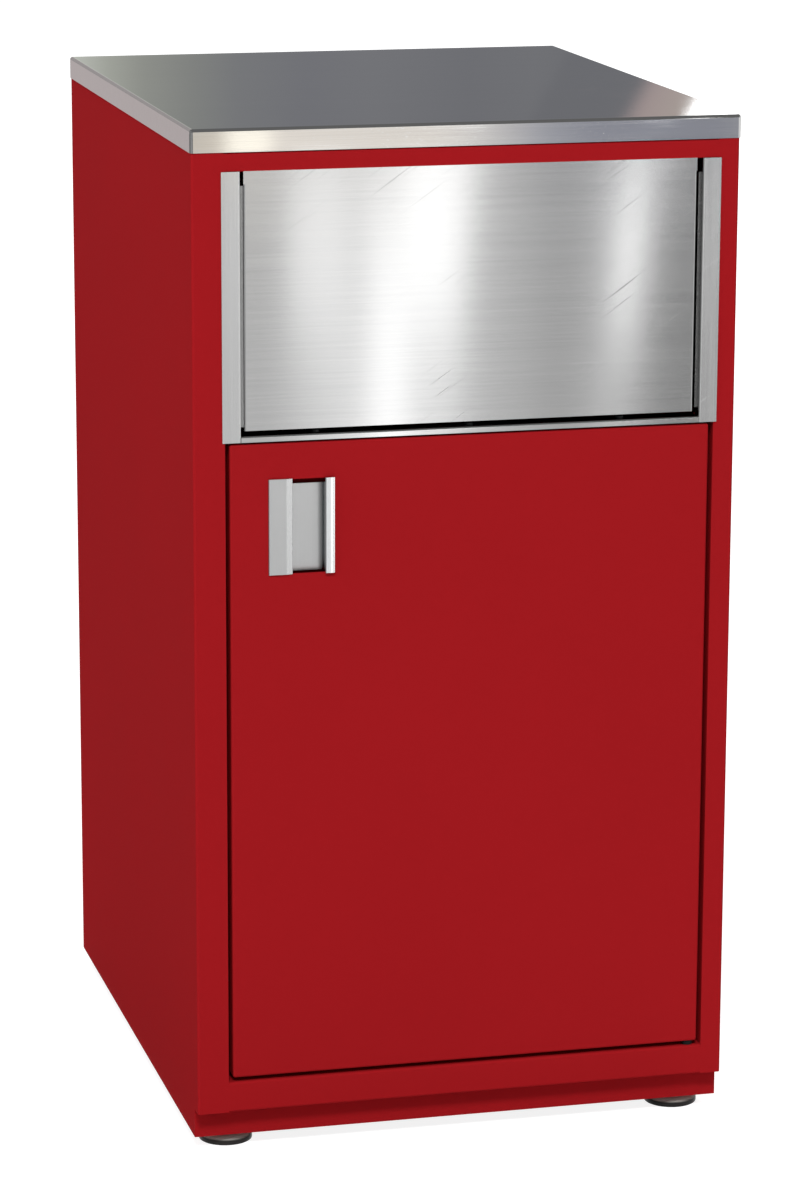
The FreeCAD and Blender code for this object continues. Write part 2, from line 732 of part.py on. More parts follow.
def door_liner():
    inset = SHEET + REST
    low = at(DOOR_LEFT + inset, DOOR_REAR - LINER_RIM, DOOR_BOTTOM + inset)
    return pan(low, at(DOOR_RIGHT - inset, DOOR_REAR, DOOR_TOP - inset), -Y, LINER, TRIM_BEND)


def door_stiffener():
    """Hat channel up the middle of the door, between its skin and its liner."""
    skin_side = FRONT + SHEET + STIFFENER
    liner_side = DOOR_REAR - LINER
    crown = STIFFENER_CROWN / 2
    shoulder = crown + STIFFENER_SLOPE
    foot = shoulder + STIFFENER_FOOT
    plan = [
        (DOOR_CENTRE - foot, skin_side),
        (DOOR_CENTRE - shoulder, skin_side),
        (DOOR_CENTRE - crown, liner_side),
        (DOOR_CENTRE + crown, liner_side),
        (DOOR_CENTRE + shoulder, skin_side),
        (DOOR_CENTRE + foot, skin_side),
    ]
    low = DOOR_BOTTOM + STIFFENER_END_GAP
    return plan_sheet(plan, [TRIM_BEND] * 4, low, DOOR_TOP - STIFFENER_END_GAP, STIFFENER)


def door_pull():
    """Extruded pull: a flat plate bevelled towards a finger pocket, and a rounded lip over the pocket."""
    back = PULL_POCKET_DEPTH + PULL_WALL
    pocket_left = PULL_PLATE - PULL_WALL
    pocket_back_right = PULL_POCKET_RIGHT + PULL_WALL
    lip_left = PULL_WIDTH - PULL_LIP
    outline = [
        ((0, 0), 0),
        ((0, -PULL_PLATE_PROUD), PULL_PLATE_EDGE),
        ((PULL_PLATE - PULL_PLATE_BEVEL, -PULL_PLATE_PROUD), 0),
        ((PULL_PLATE, PULL_PLATE_BEVEL_DROP - PULL_PLATE_PROUD), PULL_PLATE_ROLL),
        ((PULL_PLATE, PULL_POCKET_DEPTH), PULL_POCKET_ROUND),
        ((PULL_POCKET_RIGHT, PULL_POCKET_DEPTH), PULL_POCKET_ROUND),
        ((PULL_POCKET_RIGHT, PULL_LIP_UNDERCUT), 0),
        ((lip_left, PULL_LIP_UNDERCUT), PULL_LIP_TIP),
        ((lip_left, -PULL_LIP_PROUD), PULL_LIP_NOSE),
        ((PULL_WIDTH, -PULL_LIP_PROUD), PULL_LIP_CROWN),
        ((PULL_WIDTH, 0), 0),
        ((pocket_back_right, 0), 0),
        ((pocket_back_right, back), PULL_WALL),
        ((pocket_left, back), PULL_WALL),
        ((pocket_left, 0), 0),
    ]
    points = [at(PULL_LEFT + u, FRONT + w, PULL_FOOT) for (u, w), _ in outline]
    face = Part.Face(closed_wire(points, [radius for _, radius in outline]))
    pull = face.extrude(Z * PULL_LENGTH)
    ends = []
    ribs = []
    rib_y = FRONT + SHEET + CUT_CLEARANCE
    pocket_foot = PULL_FOOT + PULL_FOOT_SLOT
    pocket_top = PULL_TOP - PULL_TOP_SLOT
    for low_z, high_z in ((PULL_FOOT, pocket_foot), (pocket_top, PULL_TOP)):
        low = at(PULL_LEFT + pocket_left, FRONT, low_z)
        ends.append(block(low, at(PULL_LEFT + pocket_back_right, FRONT + back, high_z)))
    for u in (pocket_left - PULL_RIB, pocket_back_right):
        low = at(PULL_LEFT + u, rib_y, pocket_foot)
        ribs.append(block(low, at(low.x + PULL_RIB, rib_y + PULL_RIB_WIDTH, pocket_top)))
    return pull.cut(ends).fuse(ribs).removeSplitter()


def hinge_block(low_z):
    """Steel block welded inside the door's hinge edge, bored for a pin."""
    right = DOOR_RIGHT - SHEET - BEND
    front = FRONT + SHEET + BEND
    low = at(right - HINGE_BLOCK_WIDTH, front, low_z)
    solid = block(low, low + at(HINGE_BLOCK_WIDTH, HINGE_BLOCK_DEPTH, HINGE_BLOCK_HEIGHT))
    return solid.cut(rod(PIN_RADIUS + FIT, at(HINGE_X, HINGE_Y, low_z), Z, HINGE_BLOCK_HEIGHT))


def hinge_pin(low_z, high_z):
    return rod(PIN_RADIUS, at(HINGE_X, HINGE_Y, low_z), Z, high_z - low_z)


def hinge_bush(sleeve_low, sleeve_high, collar_low, collar_high):
    """Flanged bush: its sleeve sits in a rail and its collar keeps the door off that rail."""
    sleeve = rod(HINGE_BUSH_RADIUS, at(HINGE_X, HINGE_Y, sleeve_low), Z, sleeve_high - sleeve_low)
    collar = rod(HINGE_COLLAR_RADIUS, at(HINGE_X, HINGE_Y, collar_low), Z, collar_high - collar_low)
    low = min(sleeve_low, collar_low)
    high = max(sleeve_high, collar_high)
    bore = rod(PIN_RADIUS + RUNNING, at(HINGE_X, HINGE_Y, low), Z, high - low)
    return sleeve.fuse(collar).cut(bore).removeSplitter()


def catch_low():
    """Lower left corner of the catch, on the mid rail's stop face."""
    return at(DOOR_LEFT + CATCH_INSET, STOP_FACE, DOOR_TOP - CATCH_BELOW_DOOR_TOP - CATCH_HEIGHT)


def magnetic_catch():
    low = catch_low()
    thickness = STOP_GAP - STRIKE - REST
    return block(low - Y * thickness, low + at(CATCH_LENGTH, 0, CATCH_HEIGHT))


def catch_strike():
    low = catch_low()
    return block(
        at(low.x + STRIKE_MARGIN, DOOR_REAR, low.z + STRIKE_MARGIN),
        at(low.x + CATCH_LENGTH - STRIKE_MARGIN, DOOR_REAR + STRIKE, low.z + CATCH_HEIGHT - STRIKE_MARGIN),
    )


def door_bumpers():
    z = DOOR_TOP - CATCH_BELOW_DOOR_TOP - CATCH_HEIGHT / 2
    xs = (DOOR_LEFT + DOOR_BUMPER_INSET, DOOR_RIGHT - DOOR_BUMPER_INSET)
    return Part.makeCompound([rod(DOOR_BUMPER_RADIUS, at(x, STOP_FACE, z), -Y, STOP_GAP - REST) for x in xs])


def bin_outline(width, depth, corner, z):
    """Rounded rectangle about the bin's middle."""
    centre = at(OPENING_CENTRE, FRONT + BIN_SETBACK + BIN_DEPTH / 2 + BIN_RIM, z)
    x = width / 2
    y = depth / 2
    points = [centre + at(*corner_at) for corner_at in ((x, -y), (x, y), (-x, y), (-x, -y))]
    return closed_wire(points, [corner] * 4)


def bin_foot(inset, z):
    """Outline of the bin at its foot, drawn in by an inset."""
    width = BIN_WIDTH - 2 * BIN_TAPER - 2 * inset
    depth = BIN_DEPTH - 2 * BIN_TAPER - 2 * inset
    return bin_outline(width, depth, BIN_CORNER - inset, z)


def bin_mouth(inset, z):
    """Outline of the bin at its mouth, drawn in by an inset."""
    return bin_outline(BIN_WIDTH - 2 * inset, BIN_DEPTH - 2 * inset, BIN_CORNER - inset, z)


def bin_base():
    """Plate that the bin's sleeve stands on."""
    return Part.Face(bin_foot(0, FLOOR_TOP)).extrude(Z * BIN_WALL)


def waste_bin():
    """Sleeve of the bin with tapered sides and a turned-down rim."""
    low = FLOOR_TOP + BIN_WALL
    high = FLOOR_TOP + BIN_HEIGHT
    outer, inner = [
        Part.makeLoft([bin_foot(inset, low), bin_mouth(inset, high)], True, True) for inset in (0, BIN_WALL)
    ]
    rim_size = (BIN_WIDTH + 2 * BIN_RIM, BIN_DEPTH + 2 * BIN_RIM)
    rim_outer = Part.Face(bin_outline(rim_size[0], rim_size[1], BIN_CORNER + BIN_RIM, high - BIN_RIM_DROP))
    rim_inner = Part.Face(
        bin_outline(
            rim_size[0] - 2 * BIN_WALL,
            rim_size[1] - 2 * BIN_WALL,
            BIN_CORNER + BIN_RIM - BIN_WALL,
            high - BIN_RIM_DROP,
        )
    )
    rim = rim_outer.extrude(Z * BIN_RIM_DROP).cut(rim_inner.extrude(Z * (BIN_RIM_DROP - BIN_WALL)))
    return outer.fuse(rim).cut(inner).removeSplitter()


def build():
    """Every piece by name."""
    side_right = side_panel(HINGE_STILE).mirror(at(0, 0), X)
    jamb_left = chute_jamb()
    bracket_left = rod_bracket()
    bush_left = flap_bush()
    pieces = {
        "worktop_skin": worktop_skin(),
        "worktop_core": worktop_core(),
        "worktop_screws": worktop_screws(),
        "side_panel_left": side_panel(LATCH_STILE),
        "side_panel_right": side_right,
        "back_panel": back_panel(),
        "back_rivets": back_rivets(),
        "floor_panel": floor_panel(),
        "top_rail": top_rail(),
        "mid_rail": mid_rail(),
        "bottom_rail": bottom_rail(),
        "toe_kick": toe_kick(),
        "top_brace": top_brace(),
        "leveller_plates": leveller_plates(),
        "leveller_nuts": leveller_nuts(),
        "chute_jamb_left": jamb_left,
        "chute_jamb_right": about_opening(jamb_left),
        "chute_sill": chute_sill(),
        "sill_screws": sill_screws(),
        "flap_rod": flap_rod(),
        "rod_bracket_left": bracket_left,
        "rod_bracket_right": about_opening(bracket_left),
        "hinge_bush_top": hinge_bush(
            MID_TOP - SHEET, MID_TOP, DOOR_TOP + REST, MID_TOP - SHEET
        ),
        "hinge_bush_bottom": hinge_bush(
            FLOOR_TOP - HINGE_BUSH_TAIL, SILL, SILL, DOOR_BOTTOM - REST
        ),
        "magnetic_catch": magnetic_catch(),
        "door_bumpers": door_bumpers(),
        "waste_bin": waste_bin(),
        "bin_base": bin_base(),
        "door_skin": door_skin(),
        "door_liner": door_liner(),
        "door_stiffener": door_stiffener(),
        "door_pull": door_pull(),
        "hinge_block_top": hinge_block(DOOR_TOP - SHEET - HINGE_BLOCK_HEIGHT),
        "hinge_block_bottom": hinge_block(DOOR_BOTTOM + SHEET),
        "hinge_pin_top": hinge_pin(DOOR_TOP - SHEET - HINGE_BLOCK_HEIGHT, MID_TOP - PIN_TIP_GAP),
        "hinge_pin_bottom": hinge_pin(FLOOR_TOP - HINGE_BUSH_TAIL, DOOR_BOTTOM + SHEET + HINGE_BLOCK_HEIGHT),
        "catch_strike": catch_strike(),
        "flap_panel": flap_panel(),
        "flap_backing": flap_backing(),
        "flap_bush_left": bush_left,
        "flap_bush_right": about_opening(bush_left),
        "flap_bumpers": flap_bumpers(),
    }
    for place, (x, y) in FEET.items():
        pieces["foot_pad_" + place] = foot_pad(x, y)
        pieces["foot_stud_" + place] = foot_stud(x, y)
    return pieces


def main():
    os.makedirs("parts", exist_ok=True)
    for name, shape in build().items():
        shape.exportStep("parts/" + name + ".step")


main()
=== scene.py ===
"""Looks of a trash cabinet: finishes, turned small pieces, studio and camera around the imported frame."""

import logging
import math
from collections.abc import Iterable, Sequence
from dataclasses import dataclass, field
from enum import Enum
from typing import Any

import bmesh
import bpy
from mathutils import Matrix, Vector


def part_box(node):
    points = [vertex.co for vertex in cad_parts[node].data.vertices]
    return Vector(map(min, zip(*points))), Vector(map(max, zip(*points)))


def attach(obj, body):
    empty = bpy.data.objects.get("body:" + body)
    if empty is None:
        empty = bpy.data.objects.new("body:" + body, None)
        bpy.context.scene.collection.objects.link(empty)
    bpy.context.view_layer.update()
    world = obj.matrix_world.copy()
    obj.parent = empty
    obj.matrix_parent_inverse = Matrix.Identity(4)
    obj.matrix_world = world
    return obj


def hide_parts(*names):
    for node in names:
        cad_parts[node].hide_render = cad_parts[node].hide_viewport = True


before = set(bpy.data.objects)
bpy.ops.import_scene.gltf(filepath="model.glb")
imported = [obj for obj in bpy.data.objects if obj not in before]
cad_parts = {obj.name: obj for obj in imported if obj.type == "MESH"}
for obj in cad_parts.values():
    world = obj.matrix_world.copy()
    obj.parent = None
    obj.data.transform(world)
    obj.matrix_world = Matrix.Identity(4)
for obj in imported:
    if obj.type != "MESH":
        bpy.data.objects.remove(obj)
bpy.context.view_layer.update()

LOG = logging.getLogger("trash_cabinet")
FEET = ("front_left", "front_right", "rear_left", "rear_right")
# Watts that a square metre of lamp takes for each unit of brightness.
LAMP_WATTS = 4.0
Piece = bpy.types.Object
Triple = tuple[float, float, float]
Colour = Triple
Light = float | Colour
Span = tuple[float, float]
WHITE: Colour = (1.0, 1.0, 1.0)
WALL_GREY: Colour = (0.178, 0.181, 0.197)


def grey(level: float) -> Colour:
    """A neutral colour of this level."""
    return (level, level, level)


def opaque(colour: Colour) -> tuple[float, float, float, float]:
    """The colour with full opacity, as sockets take it."""
    return (*colour, 1.0)


class Wire:
    """An output of a shader graph that takes part in Python arithmetic."""

    NOISE_MIDDLE = 0.5

    def __init__(self, graph: "Graph", socket: bpy.types.NodeSocket) -> None:
        """Keeps the socket and the graph that it belongs to."""
        self.graph = graph
        self.socket = socket

    def other(self, output: int | str) -> "Wire":
        """Another output of the same node."""
        return Wire(self.graph, self.socket.node.outputs[output])

    def __add__(self, value: "Value") -> "Wire":
        """This value plus another."""
        return self.graph.math("ADD", self, value)

    def __radd__(self, value: "Value") -> "Wire":
        """Another value plus this one."""
        return self.graph.math("ADD", value, self)

    def __sub__(self, value: "Value") -> "Wire":
        """This value less another."""
        return self.graph.math("SUBTRACT", self, value)

    def __rsub__(self, value: "Value") -> "Wire":
        """Another value less this one."""
        return self.graph.math("SUBTRACT", value, self)

    def __mul__(self, value: "Value") -> "Wire":
        """This value times another."""
        return self.graph.math("MULTIPLY", self, value)

    def __rmul__(self, value: "Value") -> "Wire":
        """Another value times this one."""
        return self.graph.math("MULTIPLY", value, self)

    def blended(self, other: "Wire", share: float) -> "Wire":
        """A share of this value, and of another the rest."""
        return share * self + (1 - share) * other

    def swing(self, reach: float) -> "Wire":
        """How far a noise is above or below its middle, times a reach."""
        return reach * (self - self.NOISE_MIDDLE)


Value = float | Wire


class Graph:
    """Node tree of a material or of the world."""

    def __init__(self, tree: bpy.types.NodeTree) -> None:
        """Takes over a tree and empties it."""
        self.tree = tree
        tree.nodes.clear()

    def node(
        self,
        kind: str,
        settings: dict[str, Any] | None = None,
        sockets: dict[int | str, Any] | None = None,
    ) -> Wire:
        """Adds a node.

        Args:
            kind: Name of the node's type without its ShaderNode prefix.
            settings: Properties that are set first; "stops" are a ramp's (place, colour) pairs.
            sockets: Values or wires of the inputs, by name or number.

        Returns:
            The node's first output that is switched on, or a wire with no socket for an output node.
        """
        made = self.tree.nodes.new("ShaderNode" + kind)
        for name, value in (settings or {}).items():
            if name == "stops":
                self._set_stops(made.color_ramp, value)
            else:
                setattr(made, name, value)
        for name, value in (sockets or {}).items():
            if isinstance(value, Wire):
                self.tree.links.new(value.socket, made.inputs[name])
            else:
                made.inputs[name].default_value = value
        outputs = [socket for socket in made.outputs if socket.enabled]
        return Wire(self, outputs[0] if outputs else None)

    @staticmethod
    def _set_stops(ramp: bpy.types.ColorRamp, stops: Sequence[tuple[float, Colour]]) -> None:
        """Gives a ramp its stops.

        Args:
            ramp: The ramp, with any stops.
            stops: The (place, colour) pairs that it gets, in order.
        """
        while len(ramp.elements) > 1:
            ramp.elements.remove(ramp.elements[-1])
        ramp.elements[0].position = stops[0][0]
        ramp.elements[0].color = opaque(stops[0][1])
        for place, colour in stops[1:]:
            ramp.elements.new(place).color = opaque(colour)

    def math(self, operation: str, *values: Value) -> Wire:
        """Adds a Math node on the values."""
        return self.node("Math", {"operation": operation}, dict(enumerate(values)))

    def place(self) -> Wire:
        """The place on the object, in metres of the shared frame."""
        return self.node("TexCoord").other("Object")

    def facing(self) -> tuple[Wire, Wire, Wire]:
        """The surface's own normal as x, y and z."""
        return self.split(self.node("TexCoord").other("Normal"))

    def split(self, vector: Wire) -> tuple[Wire, Wire, Wire]:
        """The x, y and z of a vector."""
        parts = self.node("SeparateXYZ", None, {0: vector})
        return parts, parts.other(1), parts.other(2)

    def stretched(self, vector: Wire, scale: Sequence[float], turn: Sequence[float] = (0, 0, 0)) -> Wire:
        """Turns a vector and then scales it, to stretch a pattern.

        Args:
            vector: The pattern's vector.
            scale: Its factor along each axis.
            turn: Angles about x, y and z, in radians.

        Returns:
            The new vector.
        """
        sockets = {"Vector": vector, "Rotation": turn}
        turned = self.node("VectorRotate", {"rotation_type": "EULER_XYZ"}, sockets)
        return self.node("VectorMath", {"operation": "MULTIPLY"}, {0: turned, 1: scale})

    def noise(self, vector: Wire, scale: float = 1.0, detail: float = 2.0, roughness: float = 0.5) -> Wire:
        """Smooth noise between 0 and 1."""
        sockets = {"Vector": vector, "Scale": scale, "Detail": detail, "Roughness": roughness}
        return self.node("TexNoise", None, sockets)

    def window(self, value: Wire, low: float, high: float) -> Wire:
        """The value moved to run smoothly from 0 at low to 1 at high, and held there outside."""
        settings = {"interpolation_type": "SMOOTHSTEP"}
        return self.node("MapRange", settings, {"Value": value, "From Min": low, "From Max": high})

    def ramp(self, value: Wire, stops: Sequence[tuple[float, Colour]]) -> Wire:
        """A colour from a ramp of (place, colour) stops."""
        return self.node("ValToRGB", {"stops": stops}, {0: value})

    def mix(self, share: Value, first: Colour | Wire, second: Colour | Wire) -> Wire:
        """A colour that goes from the first to the second as the share goes from 0 to 1."""
        ends = [end if isinstance(end, Wire) else opaque(end) for end in (first, second)]
        return self.node("Mix", {"data_type": "RGBA"}, {0: share, 6: ends[0], 7: ends[1]})

    def bump(self, height: Wire, depth: float) -> Wire:
        """A normal that is tilted by a height, in units of the given depth in metres."""
        return self.node("Bump", None, {"Height": height, "Distance": depth, "Strength": 1.0})

    def surface(self, sockets: dict[str, Any]) -> None:
        """Ends a material in a Principled shader."""
        shader = self.node("BsdfPrincipled", None, sockets)
        self.node("OutputMaterial", None, {"Surface": shader})


def new_material(name: str) -> tuple[bpy.types.Material, Graph]:
    """Makes a material.

    Args:
        name: Its name.

    Returns:
        The material and its graph, still empty.
    """
    material = bpy.data.materials.new(name)
    material.use_nodes = True
    return material, Graph(material.node_tree)


class Finish:
    """A surface finish that makes one material and shares it."""

    name: str
    made: dict[str, bpy.types.Material] = {}

    def material(self) -> bpy.types.Material:
        """Makes the finish's material when it is first asked for.

        Returns:
            The material that all pieces in this finish share.
        """
        if self.name not in Finish.made:
            Finish.made[self.name], graph = new_material(self.name)
            self.paint(graph)
        return Finish.made[self.name]

    def paint(self, graph: Graph) -> None:
        """Fills the material's graph."""
        raise NotImplementedError


@dataclass(frozen=True)
class PowderCoat(Finish):
    """Satin powder coat with a fine orange peel and a faint unevenness."""

    name: str = "red_powder_coat"
    deep: Colour = (0.294, 0.0086, 0.0114)
    bright: Colour = (0.330, 0.0097, 0.0129)
    roughness: float = 0.50
    sheen_level: float = 0.002
    peel_scale: float = 520.0
    peel_depth: float = 0.00006
    peel_roughness: float = 0.10
    patch_scale: float = 4.0
    patch_share: float = 0.7
    patch_roughness: float = 0.06
    speck_scale: float = 2080.0

    def paint(self, graph: Graph) -> None:
        """Fills the material's graph.

        Args:
            graph: The material's graph, still empty.
        """
        place = graph.place()
        peel = graph.noise(place, self.peel_scale, detail=1.0)
        patches = graph.noise(place, self.patch_scale, detail=3.0)
        specks = graph.noise(place, self.speck_scale, detail=0.0)
        tone = patches.blended(specks, self.patch_share)
        uneven = self.roughness + peel.swing(self.peel_roughness)
        graph.surface(
            {
                "Base Color": graph.mix(tone, self.deep, self.bright),
                "Roughness": uneven + patches.swing(self.patch_roughness),
                "Specular IOR Level": self.sheen_level,
                "Normal": graph.bump(peel, self.peel_depth),
            }
        )


class Brushing(Enum):
    """Direction in which a sheet was brushed, with the pattern's scale along x, y and z."""

    ALONG_X = (1.0, 150.0, 150.0)
    ALONG_Z = (150.0, 150.0, 1.0)


@dataclass(frozen=True)
class BrushedSteel(Finish):
    """Stainless sheet with a directional grain, faint waves and a few fine scratches."""

    name: str
    brushing: Brushing = Brushing.ALONG_X
    dark: Colour = (0.565, 0.565, 0.565)
    light: Colour = (0.610, 0.610, 0.608)
    roughness: float = 0.13
    unevenness: float = 0.5
    spread: float = 0.9
    across_grain: float = 0.25
    fine_scale: float = 6.0
    fine_crispness: float = 0.65
    fine_share: float = 0.6
    broad_scale: float = 0.75
    grain_tones: Span = (0.3, 0.7)
    grain_depth: float = 0.000012
    wave_scale: float = 2.6
    wave_depth: float = 0.0005
    patch_scale: float = 5.2
    patch_edges: Span = (0.45, 0.7)
    scratch_scale: Triple = (14.0, 500.0, 500.0)
    scratch_turn: Triple = (0.0, 0.6, 0.0)
    scratch_edges: Span = (0.66, 0.76)
    scratch_roughness: float = 0.16

    def paint(self, graph: Graph) -> None:
        """Fills the material's graph.

        Args:
            graph: The material's graph, still empty.
        """
        place = graph.place()
        along = graph.stretched(place, self.brushing.value)
        fine = graph.noise(along, self.fine_scale, detail=3.0, roughness=self.fine_crispness)
        broad = graph.noise(along, self.broad_scale)
        grain = fine.blended(broad, self.fine_share)
        waves = graph.noise(place, self.wave_scale, detail=1.0)
        lines = graph.noise(graph.stretched(place, self.scratch_scale, self.scratch_turn), detail=1.0)
        patches = graph.window(graph.noise(place, self.patch_scale, detail=1.0), *self.patch_edges)
        scratches = graph.window(lines, *self.scratch_edges) * patches
        height = grain * self.grain_depth + waves * self.wave_depth
        uneven = self.roughness + grain.swing(self.roughness * self.unevenness)
        graph.surface(
            {
                "Base Color": graph.mix(graph.window(grain, *self.grain_tones), self.dark, self.light),
                "Metallic": 1.0,
                "Roughness": uneven + self.scratch_roughness * scratches,
                "Anisotropic": self.spread,
                "Anisotropic Rotation": self.across_grain,
                "Normal": graph.bump(height, depth=1.0),
            }
        )


@dataclass(frozen=True)
class Anodised(Finish):
    """Satin anodised aluminium with faint drawing lines up its length."""

    name: str = "anodised_aluminium"
    dark: Colour = (0.585, 0.59, 0.59)
    light: Colour = (0.69, 0.69, 0.69)
    # Base colours of a painted highlight and of its brighter part.
    highlight_colour: Colour = (0.665, 0.68, 0.69)
    brighter_highlight_colour: Colour = (0.97, 0.98, 0.98)
    roughness: float = 0.34
    # How much less rough the places with a painted highlight are.
    highlight_roughness_drop: float = 0.18
    line_scale: Triple = (900.0, 900.0, 8.0)
    line_depth: float = 0.000010
    line_share: float = 0.5
    line_roughness: float = 0.06
    bloom_scale: float = 60.0
    bloom_roughness: float = 0.10

    def painted_highlight(self, graph: Graph, place: Wire) -> tuple[Value, Value]:
        """How far a place gets a painted highlight and how much brighter its painted highlight is still:
        here, not at all.
        """
        return 0.0, 0.0

    def paint(self, graph: Graph) -> None:
        """Fills the material's graph.

        Args:
            graph: The material's graph, still empty.
        """
        place = graph.place()
        lines = graph.noise(graph.stretched(place, self.line_scale))
        bloom = graph.noise(place, self.bloom_scale)
        satin = graph.mix(lines.blended(bloom, self.line_share), self.dark, self.light)
        # Painted highlight: a lighter base colour where the hook below says so, brighter still in part.
        painted_highlight, brighter_highlight = self.painted_highlight(graph, place)
        highlight_tone = graph.mix(brighter_highlight, self.highlight_colour, self.brighter_highlight_colour)
        uneven = self.roughness + bloom.swing(self.bloom_roughness) + lines.swing(self.line_roughness)
        graph.surface(
            {
                "Base Color": graph.mix(painted_highlight, satin, highlight_tone),
                "Metallic": 1.0,
                "Roughness": uneven - self.highlight_roughness_drop * painted_highlight,
                "Normal": graph.bump(lines, self.line_depth),
            }
        )


@dataclass(frozen=True)
class PullAluminium(Anodised):
    """The pull's aluminium, with a painted highlight along the lip that fingers hold and a fainter one
    along the bevel.

    The bevel and the lip are placed by their distance from the pull's left edge, in metres.
    """

    name: str = "pull_aluminium"
    bevel_start: float = 0.0197
    bevel_end: float = 0.0270
    # Share of the painted highlight given to the bevel; past the lip's middle the painted highlight is
    # brighter.
    bevel_highlight: float = 0.42
    lip_start: float = 0.0625
    lip_middle: float = 0.0685
    blend: float = 0.0006

    def painted_highlight(self, graph: Graph, place: Wire) -> tuple[Value, Value]:
        """Finds the places across the pull that get a painted highlight.

        Args:
            graph: The material's graph.
            place: The place on the object.

        Returns:
            How far the place gets a painted highlight, and how much brighter still that painted highlight
            is.
        """
        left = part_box("door_pull")[0].x
        across, _, _ = graph.split(place)
        starts = (self.bevel_start, self.bevel_end, self.lip_start, self.lip_middle)
        past_bevel_start, past_bevel_end, past_lip_start, past_lip_middle = (
            graph.window(across, left + start - self.blend, left + start + self.blend) for start in starts
        )
        bevel = past_bevel_start - past_bevel_end
        return past_lip_start + self.bevel_highlight * bevel, past_lip_middle + bevel


@dataclass(frozen=True)
class ZincPlate(Finish):
    """Bright zinc plate with a cloudy, slightly coloured bloom."""

    name: str = "zinc_plate"
    cool: Colour = (0.50, 0.52, 0.55)
    warm: Colour = (0.62, 0.59, 0.50)
    roughness: float = 0.30
    cloud_scale: float = 140.0
    cloud_tones: Span = (0.35, 0.7)
    cloud_roughness: float = 0.22
    pit_scale: float = 1260.0
    pit_depth: float = 0.000015

    def paint(self, graph: Graph) -> None:
        """Fills the material's graph.

        Args:
            graph: The material's graph, still empty.
        """
        place = graph.place()
        clouds = graph.noise(place, self.cloud_scale, detail=3.0)
        pits = graph.noise(place, self.pit_scale, detail=1.0)
        graph.surface(
            {
                "Base Color": graph.mix(graph.window(clouds, *self.cloud_tones), self.cool, self.warm),
                "Metallic": 1.0,
                "Roughness": self.roughness + clouds.swing(self.cloud_roughness),
                "Normal": graph.bump(pits, self.pit_depth),
            }
        )


@dataclass(frozen=True)
class Moulded(Finish):
    """Moulded plastic or rubber with a fine grain and a dusty unevenness."""

    name: str
    dark: Colour
    light: Colour
    roughness: float
    grain_scale: float = 1500.0
    grain_depth: float = 0.00003
    grain_roughness: float = 0.08
    dust_scale: float = 25.0
    dust_share: float = 0.7
    dust_tones: Span = (0.3, 0.75)
    dust_roughness: float = 0.14
    sheen_level: float = 0.5

    def colour(self, graph: Graph, unevenness: Wire) -> Wire:
        """The surface's own colour, from its unevenness."""
        return graph.mix(unevenness, self.dark, self.light)

    def paint(self, graph: Graph) -> None:
        """Fills the material's graph.

        Args:
            graph: The material's graph, still empty.
        """
        place = graph.place()
        grain = graph.noise(place, self.grain_scale, detail=1.0)
        dust = graph.noise(place, self.dust_scale, detail=4.0)
        tone = dust.blended(grain, self.dust_share)
        uneven = self.roughness + dust.swing(self.dust_roughness)
        graph.surface(
            {
                "Base Color": self.colour(graph, graph.window(tone, *self.dust_tones)),
                "Roughness": uneven + grain.swing(self.grain_roughness),
                "Specular IOR Level": self.sheen_level,
                "Normal": graph.bump(grain, self.grain_depth),
            }
        )


@dataclass(frozen=True)
class TopHighlitMoulding(Moulded):
    """Moulded plastic near the floor, with a painted highlight that makes what faces up paler."""

    # Colour of the painted highlight, and the facing-up window over which it is painted.
    top_highlight_colour: Colour = (0.42, 0.41, 0.38)
    top_highlight_slope: Span = (0.25, 0.75)

    def colour(self, graph: Graph, unevenness: Wire) -> Wire:
        """The surface's colour, from its unevenness and, as a painted highlight, from how far it faces up.
        """
        plastic = graph.mix(unevenness, self.dark, self.light)
        return graph.mix(graph.window(graph.facing()[2], *self.top_highlight_slope), plastic, self.top_highlight_colour)


@dataclass(frozen=True)
class ChipBoard(Finish):
    """Bare particle board: pressed chips of mixed tone."""

    name: str = "chip_board"
    dark: Colour = (0.24, 0.15, 0.08)
    middle: Colour = (0.42, 0.29, 0.17)
    light: Colour = (0.58, 0.44, 0.28)
    roughness: float = 0.78
    tone_roughness: float = 0.12
    chip_scale: Triple = (130.0, 260.0, 320.0)
    chip_depth: float = 0.0002

    def paint(self, graph: Graph) -> None:
        """Fills the material's graph.

        Args:
            graph: The material's graph, still empty.
        """
        place = graph.stretched(graph.place(), self.chip_scale)
        chips = graph.node("TexVoronoi", {"feature": "F1"}, {"Vector": place, "Scale": 1.0})
        tones, _, _ = graph.split(chips.other("Color"))
        stops = ((0.0, self.dark), (0.5, self.middle), (1.0, self.light))
        graph.surface(
            {
                "Base Color": graph.ramp(tones, stops),
                "Roughness": self.roughness + self.tone_roughness * tones,
                "Normal": graph.bump(chips, self.chip_depth),
            }
        )


